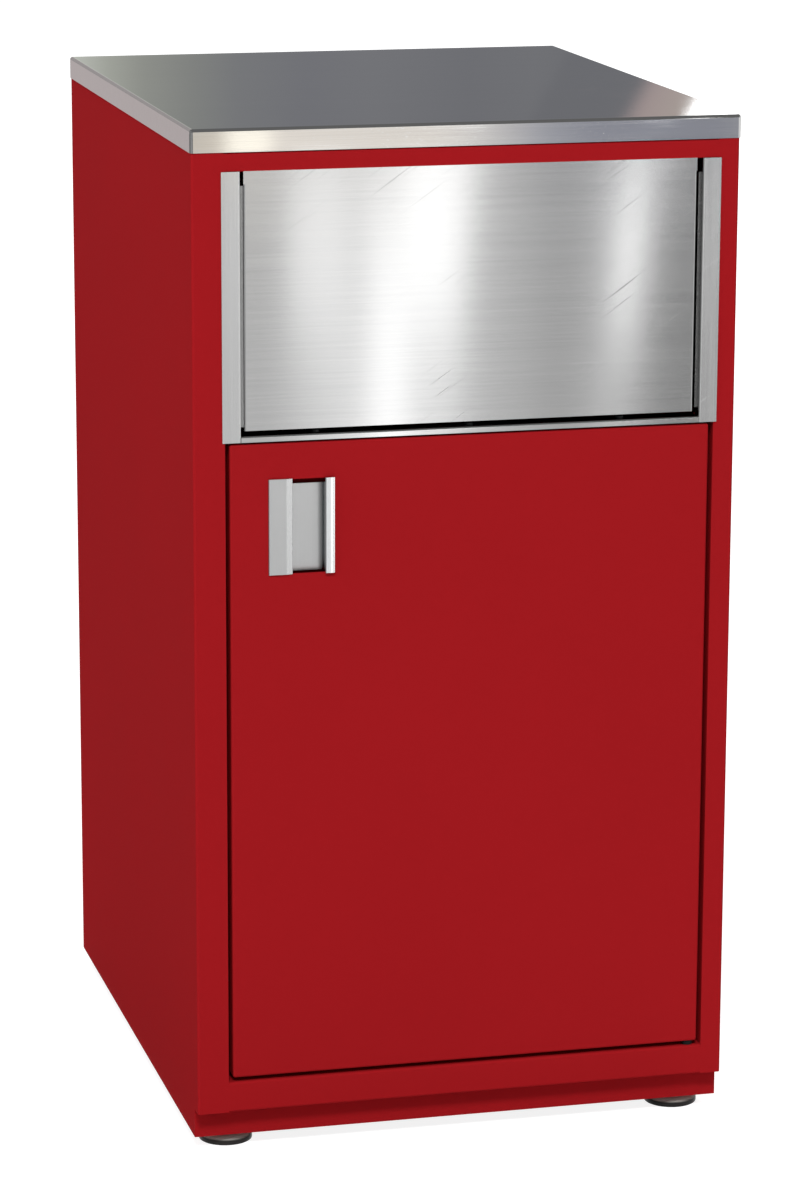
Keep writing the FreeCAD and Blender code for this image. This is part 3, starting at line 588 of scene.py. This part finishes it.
RED = PowderCoat()
SHEET_STEEL = BrushedSteel("brushed_steel")
WORKTOP_STEEL = BrushedSteel(
    "worktop_steel", roughness=0.05, spread=0.0, wave_depth=0.0002, scratch_turn=(0.0, 0.0, 0.5)
)
UPRIGHT_STEEL = BrushedSteel(
    "upright_brushed_steel", Brushing.ALONG_Z, roughness=0.16, spread=0.4, across_grain=0.0
)
ALUMINIUM = Anodised()
PULL_ALUMINIUM = PullAluminium()
ZINC = ZincPlate()
BOARD = ChipBoard()
BLACK = Moulded("black_moulding", grey(0.012), (0.035, 0.034, 0.033), 0.36)
RUBBER = Moulded("black_rubber", grey(0.018), (0.045, 0.044, 0.042), 0.70)
FOOT_BLACK = TopHighlitMoulding("foot_plastic", grey(0.008), (0.024, 0.021, 0.020), 0.30, sheen_level=0.15)
NYLON = Moulded("black_nylon", grey(0.008), (0.020, 0.020, 0.021), 0.50, sheen_level=0.1)
BLACK_STEEL = Moulded("black_coated_steel", (0.014, 0.014, 0.015), (0.030, 0.030, 0.031), 0.40)
BIN_GREY = Moulded(
    "bin_plastic",
    (0.046, 0.048, 0.051),
    (0.066, 0.069, 0.073),
    0.52,
    grain_scale=700.0,
    grain_depth=0.00008,
    dust_scale=9.0,
)


def dress(pieces: Iterable[Piece], finish: Finish) -> None:
    """Gives pieces one finish.

    Args:
        pieces: Objects with a mesh each.
        finish: What they are finished in.
    """
    for piece in pieces:
        piece.data.materials.clear()
        piece.data.materials.append(finish.material())
        LOG.info("%s: %s", piece.name, finish.name)


def nodes(*names: str) -> list[Piece]:
    """The frame's own nodes with these names."""
    return [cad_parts[name] for name in names]


class Bench:
    """Modelling steps for the pieces that are made here."""

    # Cosine of the angle within which a face points along an axis.
    END_MATCH = 0.99
    ROUNDING_STEPS = 3

    @staticmethod
    def start() -> None:
        """Leaves edit mode and lets go of everything."""
        if bpy.context.mode != "OBJECT":
            bpy.ops.object.mode_set(mode="OBJECT")
        bpy.ops.object.select_all(action="DESELECT")

    @staticmethod
    def take(*pieces: Piece) -> None:
        """Selects some pieces and nothing else, and makes the first one active.

        Args:
            pieces: What is selected.
        """
        Bench.start()
        for piece in pieces:
            piece.select_set(True)
        bpy.context.view_layer.objects.active = pieces[0]

    @staticmethod
    def label(piece: Piece, name: str) -> None:
        """Names a piece and its mesh."""
        piece.name = name
        piece.data.name = name

    @staticmethod
    def blank(name: str, radius: float, length: float, centre: Vector, axis: Vector, sides: int) -> Piece:
        """Adds a round blank to be turned.

        Args:
            name: The piece's name.
            radius: Its radius in metres.
            length: Its length along the axis.
            centre: The middle of the blank.
            axis: The way that its far end points.
            sides: Number of sides round it.

        Returns:
            The new object, selected and active.
        """
        Bench.start()
        turn = axis.to_track_quat("Z", "Y").to_euler()
        bpy.ops.mesh.primitive_cylinder_add(
            vertices=sides, radius=radius, depth=length, location=centre, rotation=turn
        )
        piece = bpy.context.object
        Bench.label(piece, name)
        bpy.ops.object.transform_apply(location=True, rotation=True, scale=True)
        return piece

    @staticmethod
    def pick_end(piece: Piece, axis: Vector) -> None:
        """Enters edit mode and selects the end of a piece.

        Args:
            piece: The piece, active.
            axis: The way that the end points.
        """
        bpy.ops.object.mode_set(mode="EDIT")
        bpy.context.tool_settings.mesh_select_mode = (False, False, True)
        bpy.ops.mesh.select_all(action="DESELECT")
        mesh = bmesh.from_edit_mesh(piece.data)
        mesh.normal_update()
        ends = [face for face in mesh.faces if face.normal.dot(axis) > Bench.END_MATCH]
        furthest = max(ends, key=lambda face: face.calc_center_median().dot(axis))
        furthest.select_set(True)
        bmesh.update_edit_mesh(piece.data)

    @staticmethod
    def turn_end(piece: Piece, axis: Vector, steps: Iterable[Span]) -> None:
        """Shapes an end of a turned piece.

        Args:
            piece: The piece.
            axis: The way that the end points.
            steps: For each step, how far the end shrinks and how far it moves out.
        """
        Bench.pick_end(piece, axis)
        for shrink, rise in steps:
            bpy.ops.mesh.inset(thickness=shrink, depth=rise)
        bpy.ops.object.mode_set(mode="OBJECT")

    @staticmethod
    def soften(piece: Piece, width: float, angle: float = 40.0) -> None:
        """Rounds a piece's sharp edges and shades it smooth.

        Args:
            piece: The piece.
            width: Width of the rounding in metres.
            angle: Edges sharper than this, in degrees, are rounded.
        """
        Bench.take(piece)
        bevel = piece.modifiers.new("rounding", "BEVEL")
        bevel.width = width
        bevel.segments = Bench.ROUNDING_STEPS
        bevel.limit_method = "ANGLE"
        bevel.angle_limit = math.radians(angle)
        bpy.ops.object.modifier_apply(modifier=bevel.name)
        bpy.ops.object.shade_smooth_by_angle(angle=math.radians(angle))

    @staticmethod
    def copy(piece: Piece, name: str, offset: Vector) -> Piece:
        """Copies a piece with its mesh.

        Args:
            piece: What is copied.
            name: Name of the copy.
            offset: How far the copy's mesh is moved.

        Returns:
            The copy.
        """
        twin = piece.copy()
        twin.data = piece.data.copy()
        Bench.label(twin, name)
        twin.data.transform(Matrix.Translation(offset))
        bpy.context.scene.collection.objects.link(twin)
        return twin

    @staticmethod
    def repeat(first: Piece, spots: Sequence[Vector], name: str) -> Piece:
        """Copies a piece from the first spot to the others and joins them all.

        Args:
            first: The piece at the first spot.
            spots: The places of all.
            name: Name of the result.

        Returns:
            The joined piece.
        """
        copies = [Bench.copy(first, first.name, spot - spots[0]) for spot in spots[1:]]
        Bench.take(first, *copies)
        bpy.ops.object.join()
        Bench.label(first, name)
        return first


def dome_steps(radius: float, top: float, rise: float, count: int) -> list[Span]:
    """Steps that turn a flat end into a dome.

    Args:
        radius: Radius at the dome's foot.
        top: Radius of the flat left on top.
        rise: The dome's height.
        count: Number of steps.

    Returns:
        How far each step shrinks and rises.
    """
    angles = [step * math.pi / 2 / count for step in range(count + 1)]
    radii = [top + (radius - top) * math.cos(angle) for angle in angles]
    heights = [rise * math.sin(angle) for angle in angles]
    pairs = zip(zip(radii, radii[1:]), zip(heights, heights[1:]))
    return [(wide - narrow, high - low) for (wide, narrow), (low, high) in pairs]


class SubAssembly:
    """A group of pieces that is modelled and dressed together."""

    def build(self) -> None:
        """Models what the frame's own nodes don't show."""

    def dress(self) -> None:
        """Gives every piece its finish."""
        raise NotImplementedError


@dataclass
class Worktop(SubAssembly):
    """Steel-covered board on top of the cabinet."""

    def dress(self) -> None:
        """Gives every piece its finish."""
        dress(nodes("worktop_skin"), WORKTOP_STEEL)
        dress(nodes("worktop_core"), BOARD)
        dress(nodes("worktop_screws"), ZINC)


@dataclass
class Carcass(SubAssembly):
    """Painted sheet-metal body and the rivets that hold its back."""

    painted: tuple[str, ...] = (
        "side_panel_left",
        "side_panel_right",
        "back_panel",
        "floor_panel",
        "top_rail",
        "mid_rail",
        "bottom_rail",
        "toe_kick",
        "top_brace",
        "leveller_plates",
    )
    rivets_each_side: int = 6
    rivet_radius: float = 0.0042
    rivet_edge: float = 0.0002
    rivet_head: float = 0.0009
    rivet_sides: int = 32
    rivet_rounding: float = 0.00008
    crown_steps: int = 5
    shank_radius: float = 0.0021
    hole_radius: float = 0.00105
    hole_rim: float = 0.0003
    hole_taper: float = 0.0001
    hole_depth: float = 0.0004
    rivets: Piece | None = None

    def build(self) -> None:
        """Models the rivets down both sides of the back."""
        low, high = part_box("back_rivets")
        out = Vector((0, 1, 0))
        seat = high.y - self.rivet_head
        xs = (low.x + self.rivet_radius, high.x - self.rivet_radius)
        first = low.z + self.rivet_radius
        gap = (high.z - low.z - 2 * self.rivet_radius) / (self.rivets_each_side - 1)
        spots = [Vector((x, seat, first + step * gap)) for x in xs for step in range(self.rivets_each_side)]
        rivet = self.one_rivet(spots[0], out, seat - low.y)
        self.rivets = Bench.repeat(rivet, spots, "back_rivets_domed")
        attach(self.rivets, "cabinet")
        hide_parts("back_rivets")

    def one_rivet(self, seat: Vector, out: Vector, reach: float) -> Piece:
        """Models a rivet.

        Args:
            seat: The middle of its head's underside.
            out: The way that its head points.
            reach: How far its tail reaches behind the seat.

        Returns:
            The rivet.
        """
        middle = seat + out * (self.rivet_edge / 2)
        rivet = Bench.blank("rivet", self.rivet_radius, self.rivet_edge, middle, out, self.rivet_sides)
        crown = self.rivet_head - self.rivet_edge
        rim = self.hole_radius + self.hole_rim
        Bench.turn_end(rivet, out, dome_steps(self.rivet_radius, rim, crown, self.crown_steps))
        Bench.turn_end(rivet, out, [(self.hole_rim, 0.0), (self.hole_taper, -self.hole_depth)])
        Bench.turn_end(rivet, -out, [(self.rivet_radius - self.shank_radius, 0.0), (0.0, reach)])
        Bench.soften(rivet, self.rivet_rounding)
        return rivet

    def dress(self) -> None:
        """Gives every piece its finish."""
        dress(nodes(*self.painted), RED)
        dress([self.rivets], ALUMINIUM)
        dress(nodes("leveller_nuts"), ZINC)


@dataclass
class Chute(SubAssembly):
    """Steel trim of the upper opening and the flap that hangs in it."""

    screws: int = 3
    screw_radius: float = 0.0046
    screw_edge: float = 0.0008
    screw_sides: int = 36
    screw_rounding: float = 0.0001
    crown_flat: float = 0.00253
    crown_steps: int = 5
    shoulder: float = 0.002208
    socket_radius: float = 0.0016
    socket_depth: float = 0.0011
    socket_sides: int = 6
    heads: Piece | None = None

    def build(self) -> None:
        """Models the screws that hold the sill."""
        low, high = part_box("sill_screws")
        up = Vector((0, 0, 1))
        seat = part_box("chute_sill")[1].z
        gap = (high.x - low.x - 2 * self.screw_radius) / (self.screws - 1)
        y = (low.y + high.y) / 2
        spots = [Vector((low.x + self.screw_radius + step * gap, y, seat)) for step in range(self.screws)]
        screw = self.one_screw(spots[0], up, high.z - seat, seat - low.z)
        self.heads = Bench.repeat(screw, spots, "sill_screws_socket")
        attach(self.heads, "cabinet")
        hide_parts("sill_screws")

    def one_screw(self, seat: Vector, up: Vector, head: float, shank: float) -> Piece:
        """Models a pan-head screw with a hexagon socket.

        Args:
            seat: The middle of its head's underside.
            up: The way that its head points.
            head: Height of the head.
            shank: Length of the shank.

        Returns:
            The screw.
        """
        middle = seat + up * (self.screw_edge / 2)
        screw = Bench.blank("screw", self.screw_radius, self.screw_edge, middle, up, self.screw_sides)
        crown = head - self.screw_edge
        Bench.turn_end(screw, up, dome_steps(self.screw_radius, self.crown_flat, crown, self.crown_steps))
        Bench.turn_end(screw, -up, [(self.shoulder, 0.0), (0.0, shank)])
        top = seat + up * head
        cut = 2 * self.socket_depth
        cutter = Bench.blank("socket", self.socket_radius, cut, top, up, self.socket_sides)
        Bench.take(screw)
        socket = screw.modifiers.new("socket", "BOOLEAN")
        socket.operation = "DIFFERENCE"
        socket.object = cutter
        bpy.ops.object.modifier_apply(modifier=socket.name)
        bpy.data.objects.remove(cutter)
        Bench.soften(screw, self.screw_rounding)
        return screw

    def dress(self) -> None:
        """Gives every piece its finish."""
        dress(nodes("flap_panel", "flap_backing", "chute_sill"), SHEET_STEEL)
        dress(nodes("chute_jamb_left", "chute_jamb_right"), UPRIGHT_STEEL)
        dress(nodes("flap_rod", "rod_bracket_left", "rod_bracket_right"), ZINC)
        dress(nodes("flap_bush_left", "flap_bush_right"), NYLON)
        dress(nodes("flap_bumpers"), RUBBER)
        dress([self.heads], BLACK_STEEL)


@dataclass
class Door(SubAssembly):
    """Painted door with its extruded pull, pivots and catch."""

    painted: tuple[str, ...] = ("door_skin", "door_liner", "door_stiffener")
    plated: tuple[str, ...] = (
        "hinge_block_top",
        "hinge_block_bottom",
        "hinge_pin_top",
        "hinge_pin_bottom",
        "catch_strike",
    )

    def dress(self) -> None:
        """Gives every piece its finish."""
        dress(nodes(*self.painted), RED)
        dress(nodes("door_pull"), PULL_ALUMINIUM)
        dress(nodes(*self.plated), ZINC)
        dress(nodes("hinge_bush_top", "hinge_bush_bottom"), NYLON)
        dress(nodes("magnetic_catch"), BLACK)
        dress(nodes("door_bumpers"), RUBBER)


@dataclass
class WasteBin(SubAssembly):
    """Moulded bin behind the door."""

    def dress(self) -> None:
        """Gives every piece its finish."""
        dress(nodes("waste_bin", "bin_base"), BIN_GREY)


@dataclass
class LevellingFeet(SubAssembly):
    """Domed pads and threaded studs under the cabinet."""

    edge: float = 0.0040
    hub_radius: float = 0.0100
    hub_height: float = 0.0022
    sole_inset: float = 0.0040
    sole_recess: float = 0.0012
    sole_taper: float = 0.0005
    rounding: float = 0.0011
    rounding_angle: float = 50.0
    sides: int = 72
    crown_steps: int = 8
    thread_pitch: float = 0.0015
    thread_depth: float = 0.0008
    thread_sides: int = 28
    weld_gap: float = 0.00001
    pads: list[Piece] = field(default_factory=list)
    studs: list[Piece] = field(default_factory=list)

    def build(self) -> None:
        """Models a pad and a stud, and copies them to every corner."""
        self.pads = self.at_every_corner("foot_pad_", self.one_pad(), "_domed", "black_plastic")
        self.studs = self.at_every_corner("foot_stud_", self.one_stud(), "_threaded", "zinc_steel")

    def at_every_corner(self, node: str, first: Piece, ending: str, slot: str) -> list[Piece]:
        """Copies a piece to every corner.

        Args:
            node: Start of the names of the nodes that the copies stand for.
            first: The piece at the first corner.
            ending: End of the copies' names.
            slot: Material slot of the copies; not used.

        Returns:
            The pieces, one at each corner.
        """
        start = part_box(node + FEET[0])[0]
        pieces = []
        for corner in FEET:
            name = node + corner
            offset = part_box(name)[0] - start
            piece = Bench.copy(first, name + ending, offset)
            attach(piece, "foot_" + corner)
            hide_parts(name)
            pieces.append(piece)
        bpy.data.objects.remove(first)
        return pieces

    def one_pad(self) -> Piece:
        """Models a pad: a rim, a dome, a hub and a recessed sole.

        Returns:
            The first corner's pad.
        """
        low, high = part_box("foot_pad_" + FEET[0])
        up = Vector((0, 0, 1))
        radius = (high.x - low.x) / 2
        centre = Vector(((low.x + high.x) / 2, (low.y + high.y) / 2, low.z + self.edge / 2))
        pad = Bench.blank("foot_pad", radius, self.edge, centre, up, self.sides)
        rise = high.z - low.z - self.edge - self.hub_height
        Bench.turn_end(pad, up, dome_steps(radius, self.hub_radius, rise, self.crown_steps))
        Bench.turn_end(pad, up, [(0.0, self.hub_height)])
        Bench.turn_end(pad, -up, [(self.sole_inset, 0.0), (self.sole_taper, -self.sole_recess)])
        Bench.soften(pad, self.rounding, self.rounding_angle)
        return pad

    def one_stud(self) -> Piece:
        """Models a stud by winding a thread's profile up its axis.

        Returns:
            The first corner's stud.
        """
        low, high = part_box("foot_stud_" + FEET[0])
        radius = (high.x - low.x) / 2
        foot = Vector(((low.x + high.x) / 2, (low.y + high.y) / 2, low.z))
        Bench.start()
        bpy.ops.mesh.primitive_plane_add(size=radius, location=foot)
        stud = bpy.context.object
        Bench.label(stud, "foot_stud")
        bpy.ops.object.mode_set(mode="EDIT")
        bpy.context.tool_settings.mesh_select_mode = (True, False, False)
        bpy.ops.mesh.select_all(action="SELECT")
        bpy.ops.mesh.merge(type="CENTER")
        bpy.ops.transform.translate(value=(radius - self.thread_depth, 0, 0))
        for step in (self.thread_depth, -self.thread_depth):
            move = (step, 0, self.thread_pitch / 2)
            bpy.ops.mesh.extrude_vertices_move(TRANSFORM_OT_translate={"value": move})
        bpy.ops.object.mode_set(mode="OBJECT")
        thread = stud.modifiers.new("thread", "SCREW")
        thread.screw_offset = self.thread_pitch
        thread.iterations = int((high.z - low.z) / self.thread_pitch) - 1
        thread.steps = self.thread_sides
        thread.render_steps = self.thread_sides
        thread.use_merge_vertices = True
        bpy.ops.object.modifier_apply(modifier=thread.name)
        bpy.ops.object.transform_apply(location=True, rotation=True, scale=True)
        bpy.ops.object.mode_set(mode="EDIT")
        bpy.ops.mesh.select_all(action="SELECT")
        bpy.ops.mesh.remove_doubles(threshold=self.weld_gap)
        bpy.ops.mesh.fill_holes(sides=0)
        bpy.ops.mesh.normals_make_consistent(inside=False)
        bpy.ops.object.mode_set(mode="OBJECT")
        return stud

    def dress(self) -> None:
        """Gives every piece its finish."""
        dress(self.pads, FOOT_BLACK)
        dress(self.studs, ZINC)


@dataclass(frozen=True)
class Lamp:
    """A soft rectangular lamp."""

    name: str
    place: Triple
    target: Triple
    size: Span
    brightness: float

    def hang(self) -> None:
        """Adds the lamp, which lights the object and isn't seen itself."""
        data = bpy.data.lights.new(self.name, "AREA")
        data.shape = "RECTANGLE"
        data.size, data.size_y = self.size
        data.energy = LAMP_WATTS * self.brightness * self.size[0] * self.size[1]
        lamp = bpy.data.objects.new(self.name, data)
        lamp.location = self.place
        aim = Vector(self.target) - Vector(self.place)
        lamp.rotation_euler = aim.to_track_quat("-Z", "Y").to_euler()
        lamp.visible_camera = False
        lamp.visible_glossy = False
        bpy.context.scene.collection.objects.link(lamp)


@dataclass(frozen=True)
class Card:
    """A card that only shows in reflections, with a light that changes across its width.

    Its stops are (x, light) pairs, with a number for a grey light. Its tilt stands it up, its lean
    tips it sideways and its turn swings it round, all in degrees.
    """

    name: str
    centre: Triple
    size: Span
    stops: tuple[tuple[float, Light], ...]
    lean: float = 0.0
    tilt: float = 90.0
    turn: float = 0.0
    brightest: float = 3.0

    @classmethod
    def plain(cls, name: str, centre: Triple, size: Span, light: Light, **turns: float) -> "Card":
        """A card with the same light all over."""
        return cls(name, centre, size, ((centre[0], light),), **turns)

    def stand(self) -> None:
        """Adds the card."""
        Bench.start()
        turn = [math.radians(angle) for angle in (self.tilt, self.lean, self.turn)]
        bpy.ops.mesh.primitive_plane_add(size=1, location=self.centre, rotation=turn)
        card = bpy.context.object
        card.name = self.name
        card.scale = (*self.size, 1)
        material, graph = new_material(self.name)
        self.paint(graph)
        material.cycles.emission_sampling = "NONE"
        card.data.materials.append(material)
        card.visible_camera = False
        card.visible_diffuse = False
        card.visible_shadow = False
        card.visible_transmission = False

    def paint(self, graph: Graph) -> None:
        """Fills the card's graph.

        Args:
            graph: The graph of the card's material, still empty.
        """
        width = self.size[0]
        left = self.centre[0] - width / 2
        places = [(x - left) / width for x, _ in self.stops]
        lights = [light if isinstance(light, tuple) else grey(light) for _, light in self.stops]
        shades = [tuple(part / self.brightest for part in light) for light in lights]
        # A ramp's places run from 0 to 1, and the card's own from -0.5 to 0.5.
        across, _, _ = graph.split(graph.place())
        shade = graph.ramp(across + 0.5, list(zip(places, shades)))
        glow = graph.node("Emission", None, {"Color": shade, "Strength": self.brightest})
        graph.node("OutputMaterial", None, {"Surface": glow})


@dataclass(frozen=True)
class Viewpoint:
    """The camera's place and aim; angles are in degrees and lengths on the picture in its own pixels."""

    place: Triple = (-1.1989, -4.7872, 1.7040)
    turn: float = 14.318
    dip: float = 13.314
    roll: float = 0.221
    focal_pixels: float = 4300.0
    picture_height: float = 1198.0
    sensor: float = 36.0

    def set_up(self) -> None:
        """Makes the camera the scene's own."""
        data = bpy.data.cameras.new("camera")
        data.sensor_width = self.sensor
        data.lens = self.focal_pixels / self.picture_height * self.sensor
        camera = bpy.data.objects.new("camera", data)
        # A camera that isn't turned looks straight down.
        aim = Matrix.Rotation(math.radians(-self.turn), 4, "Z")
        aim = aim @ Matrix.Rotation(math.radians(90 - self.dip), 4, "X")
        aim = aim @ Matrix.Rotation(math.radians(self.roll), 4, "Z")
        camera.matrix_world = Matrix.Translation(self.place) @ aim
        bpy.context.scene.collection.objects.link(camera)
        bpy.context.scene.camera = camera


@dataclass
class Studio:
    """Pale floor, white surroundings, soft lamps, reflector cards and the camera."""

    floor_size: float = 60.0
    floor_drop: float = 0.0002
    floor_colour: Colour = grey(0.82)
    floor_glow: float = 0.86
    floor_share: float = 0.35
    sky_stops: tuple[tuple[float, Colour], ...] = (
        (0.0, grey(0.28)),
        (0.5, grey(0.32)),
        (1.0, grey(0.48)),
    )
    lamps: tuple[Lamp, ...] = (
        Lamp("key", (-2.4, -9.9, 11.4), (0.0, -0.3, 0.6), (3.3, 2.7), 37.3),
        Lamp("fill", (-4.2, -1.2, 2.6), (-0.3, 0.0, 0.6), (2.0, 2.0), 2.9),
        Lamp("back", (6.0, 8.0, 7.0), (0.0, 0.3, 0.6), (3.0, 3.0), 22.0),
    )
    cards: tuple[Card, ...] = (
        Card(
            "card_behind",
            (0.60, 2.60, 2.05),
            (3.4, 2.0),
            (
                (-1.10, (0.42, 0.39, 0.39)),
                (-0.02, (0.42, 0.39, 0.39)),
                (0.05, (0.82, 0.84, 0.79)),
                (0.09, (0.57, 0.59, 0.54)),
                (0.15, (0.42, 0.433, 0.39)),
                (0.21, (0.325, 0.335, 0.308)),
                (0.30, (0.262, 0.27, 0.26)),
                (0.38, (0.22, 0.225, 0.235)),
                (0.50, (0.20, 0.203, 0.222)),
                (0.62, (0.207, 0.210, 0.226)),
                (0.80, (0.188, 0.191, 0.208)),
                (0.92, (0.197, 0.20, 0.215)),
                (1.10, WALL_GREY),
                (2.30, WALL_GREY),
            ),
        ),
        Card(
            "leaning_card_behind",
            (1.60, 2.58, 1.52),
            (1.2, 1.6),
            (
                (1.00, WALL_GREY),
                (1.145, WALL_GREY),
                (1.17, (0.42, 0.345, 0.34)),
                (1.235, (0.46, 0.40, 0.37)),
                (1.25, (0.46, 0.40, 0.37)),
                (1.40, 0.28),
                (2.20, 0.24),
            ),
            lean=-30.0,
        ),
        Card.plain("white_card_behind", (1.292, 2.57, 1.504), (0.15, 0.20), 2.2, lean=-30.0),
        Card.plain("dark_card_above", (0.50, 0.10, 3.10), (6.0, 5.2), 0.18, tilt=0.0),
        Card.plain("dark_card_front", (0.00, -2.36, 2.15), (6.0, 2.0), 0.18),
        Card.plain("dark_card_left", (-3.16, 2.60, 0.004), (5.7, 12.0), 0.20, tilt=0.0),
        Card.plain("dark_card_far_left", (-6.00, 6.50, 5.00), (12.0, 10.0), 0.20),
        Card.plain("dark_card_side", (-6.00, 1.00, 5.00), (11.0, 10.0), 0.28, turn=90.0),
        Card.plain("grey_card_right", (6.40, 2.75, 5.00), (7.5, 10.0), 0.50, turn=90.0),
        Card.plain("grey_card_floor_right", (3.36, -0.20, 0.004), (6.0, 1.2), 0.45, tilt=0.0),
        Card.plain("grey_card_floor_back", (3.03, 3.30, 0.004), (6.66, 5.8), 0.45, tilt=0.0),
        Card.plain("pink_card_left", (-1.50, 6.40, 0.36), (1.3, 0.80), (0.56, 0.50, 0.50)),
        Card.plain("grey_card_floor", (0.50, -1.40, 0.004), (4.0, 1.9), 0.50, tilt=0.0),
        Card(
            "low_card_front",
            (0.00, -2.36, 0.575),
            (6.0, 1.15),
            (
                (-3.00, 0.45),
                (-0.30, 0.48),
                (0.12, 0.82),
                (0.17, 0.80),
                (0.195, 0.64),
                (0.25, 0.80),
                (0.31, 1.04),
                (0.37, 1.20),
                (0.515, 1.20),
                (0.545, 0.78),
                (0.64, 0.70),
                (0.69, 0.52),
                (0.78, 0.78),
                (0.85, 0.36),
                (0.95, 0.36),
                (1.04, 0.70),
                (1.10, 1.15),
                (3.00, 0.95),
            ),
        ),
        Card(
            "edge_card_front",
            (0.00, -2.35, 0.870),
            (6.0, 0.06),
            (
                (-3.00, 0.18),
                (0.02, 0.30),
                (0.08, (0.92, 0.85, 0.74)),
                (0.145, (0.98, 0.89, 0.77)),
                (0.150, (1.80, 1.70, 1.49)),
                (0.212, (1.80, 1.70, 1.49)),
                (0.220, (1.25, 1.16, 1.06)),
                (0.48, (1.15, 1.08, 1.00)),
                (0.56, (0.95, 0.92, 0.90)),
                (0.66, (0.53, 0.54, 0.60)),
                (0.745, (0.39, 0.40, 0.47)),
                (0.95, (0.385, 0.395, 0.455)),
                (1.06, 0.60),
                (1.10, 1.15),
                (3.00, 1.15),
            ),
        ),
        Card.plain("left_panel_front", (0.295, -2.34, 0.715), (0.085, 0.26), 1.65),
        Card.plain("tall_panel_front", (0.410, -2.34, 0.380), (0.062, 0.76), 1.95),
        Card.plain("middle_panel_front", (0.482, -2.34, 0.710), (0.115, 0.25), 2.15, lean=6.0),
        Card.plain("high_middle_panel_front", (0.515, -2.34, 1.050), (0.120, 0.30), 2.15, lean=6.0),
        Card.plain("strip_front", (0.797, -2.33, 0.700), (0.044, 0.25), 2.7, lean=10.0),
        Card.plain("low_strip_front", (0.762, -2.33, 0.500), (0.044, 0.15), 0.95, lean=10.0),
        Card.plain("high_strip_front", (0.876, -2.33, 1.150), (0.044, 0.50), 2.9, lean=10.0),
    )
    viewpoint: Viewpoint = field(default_factory=Viewpoint)

    def set_up(self) -> None:
        """Lays the floor, lights the scene and sets the camera."""
        bpy.context.scene.view_settings.view_transform = "Standard"
        self.lay_floor()
        self.paint_surroundings()
        for lamp in self.lamps:
            lamp.hang()
        for card in self.cards:
            card.stand()
        self.viewpoint.set_up()

    def seen(self, graph: Graph) -> Wire:
        """Tells what is looked at from what lights the object.

        Args:
            graph: The graph that asks.

        Returns:
            1 for what is looked at, in a mirror or through glass too, and 0 for light.
        """
        rays = graph.node("LightPath")
        direct = graph.math("MAXIMUM", rays.other("Is Camera Ray"), rays.other("Is Glossy Ray"))
        return graph.math("MAXIMUM", direct, rays.other("Is Transmission Ray"))

    def lay_floor(self) -> None:
        """Lays a pale floor that looks white and keeps the cabinet's shadow."""
        Bench.start()
        bpy.ops.mesh.primitive_plane_add(size=self.floor_size, location=(0, 0, -self.floor_drop))
        floor = bpy.context.object
        floor.name = "floor"
        material, graph = new_material("pale_floor")
        plain = graph.node("BsdfDiffuse", None, {"Color": opaque(self.floor_colour)})
        faint = graph.node("BsdfDiffuse", None, {"Color": opaque(grey(self.floor_share))})
        glow = graph.node("Emission", None, {"Color": opaque(WHITE), "Strength": self.floor_glow})
        white = graph.node("AddShader", None, {0: faint, 1: glow})
        shader = graph.node("MixShader", None, {0: self.seen(graph), 1: plain, 2: white})
        graph.node("OutputMaterial", None, {"Surface": shader})
        floor.data.materials.append(material)

    def paint_surroundings(self) -> None:
        """Makes the surroundings white to look at and a soft grey as light."""
        world = bpy.data.worlds.new("surroundings")
        world.use_nodes = True
        graph = Graph(world.node_tree)
        # A ramp's places run from 0 to 1, and the sky's height from -1 to 1.
        _, _, height = graph.split(graph.node("TexCoord"))
        sky = graph.ramp(0.5 + 0.5 * height, self.sky_stops)
        light = graph.node("Background", None, {"Color": sky, "Strength": 1.0})
        white = graph.node("Background", None, {"Color": opaque(WHITE), "Strength": 1.0})
        shader = graph.node("MixShader", None, {0: self.seen(graph), 1: light, 2: white})
        graph.node("OutputWorld", None, {"Surface": shader})
        bpy.context.scene.world = world


def main() -> None:
    """Builds and dresses the cabinet, then sets up the studio."""
    logging.basicConfig(level=logging.INFO, format="%(message)s")
    for assembly in (Worktop(), Carcass(), Chute(), Door(), WasteBin(), LevellingFeet()):
        assembly.build()
        assembly.dress()
    Studio().set_up()


if __name__ == "__main__":
    main()
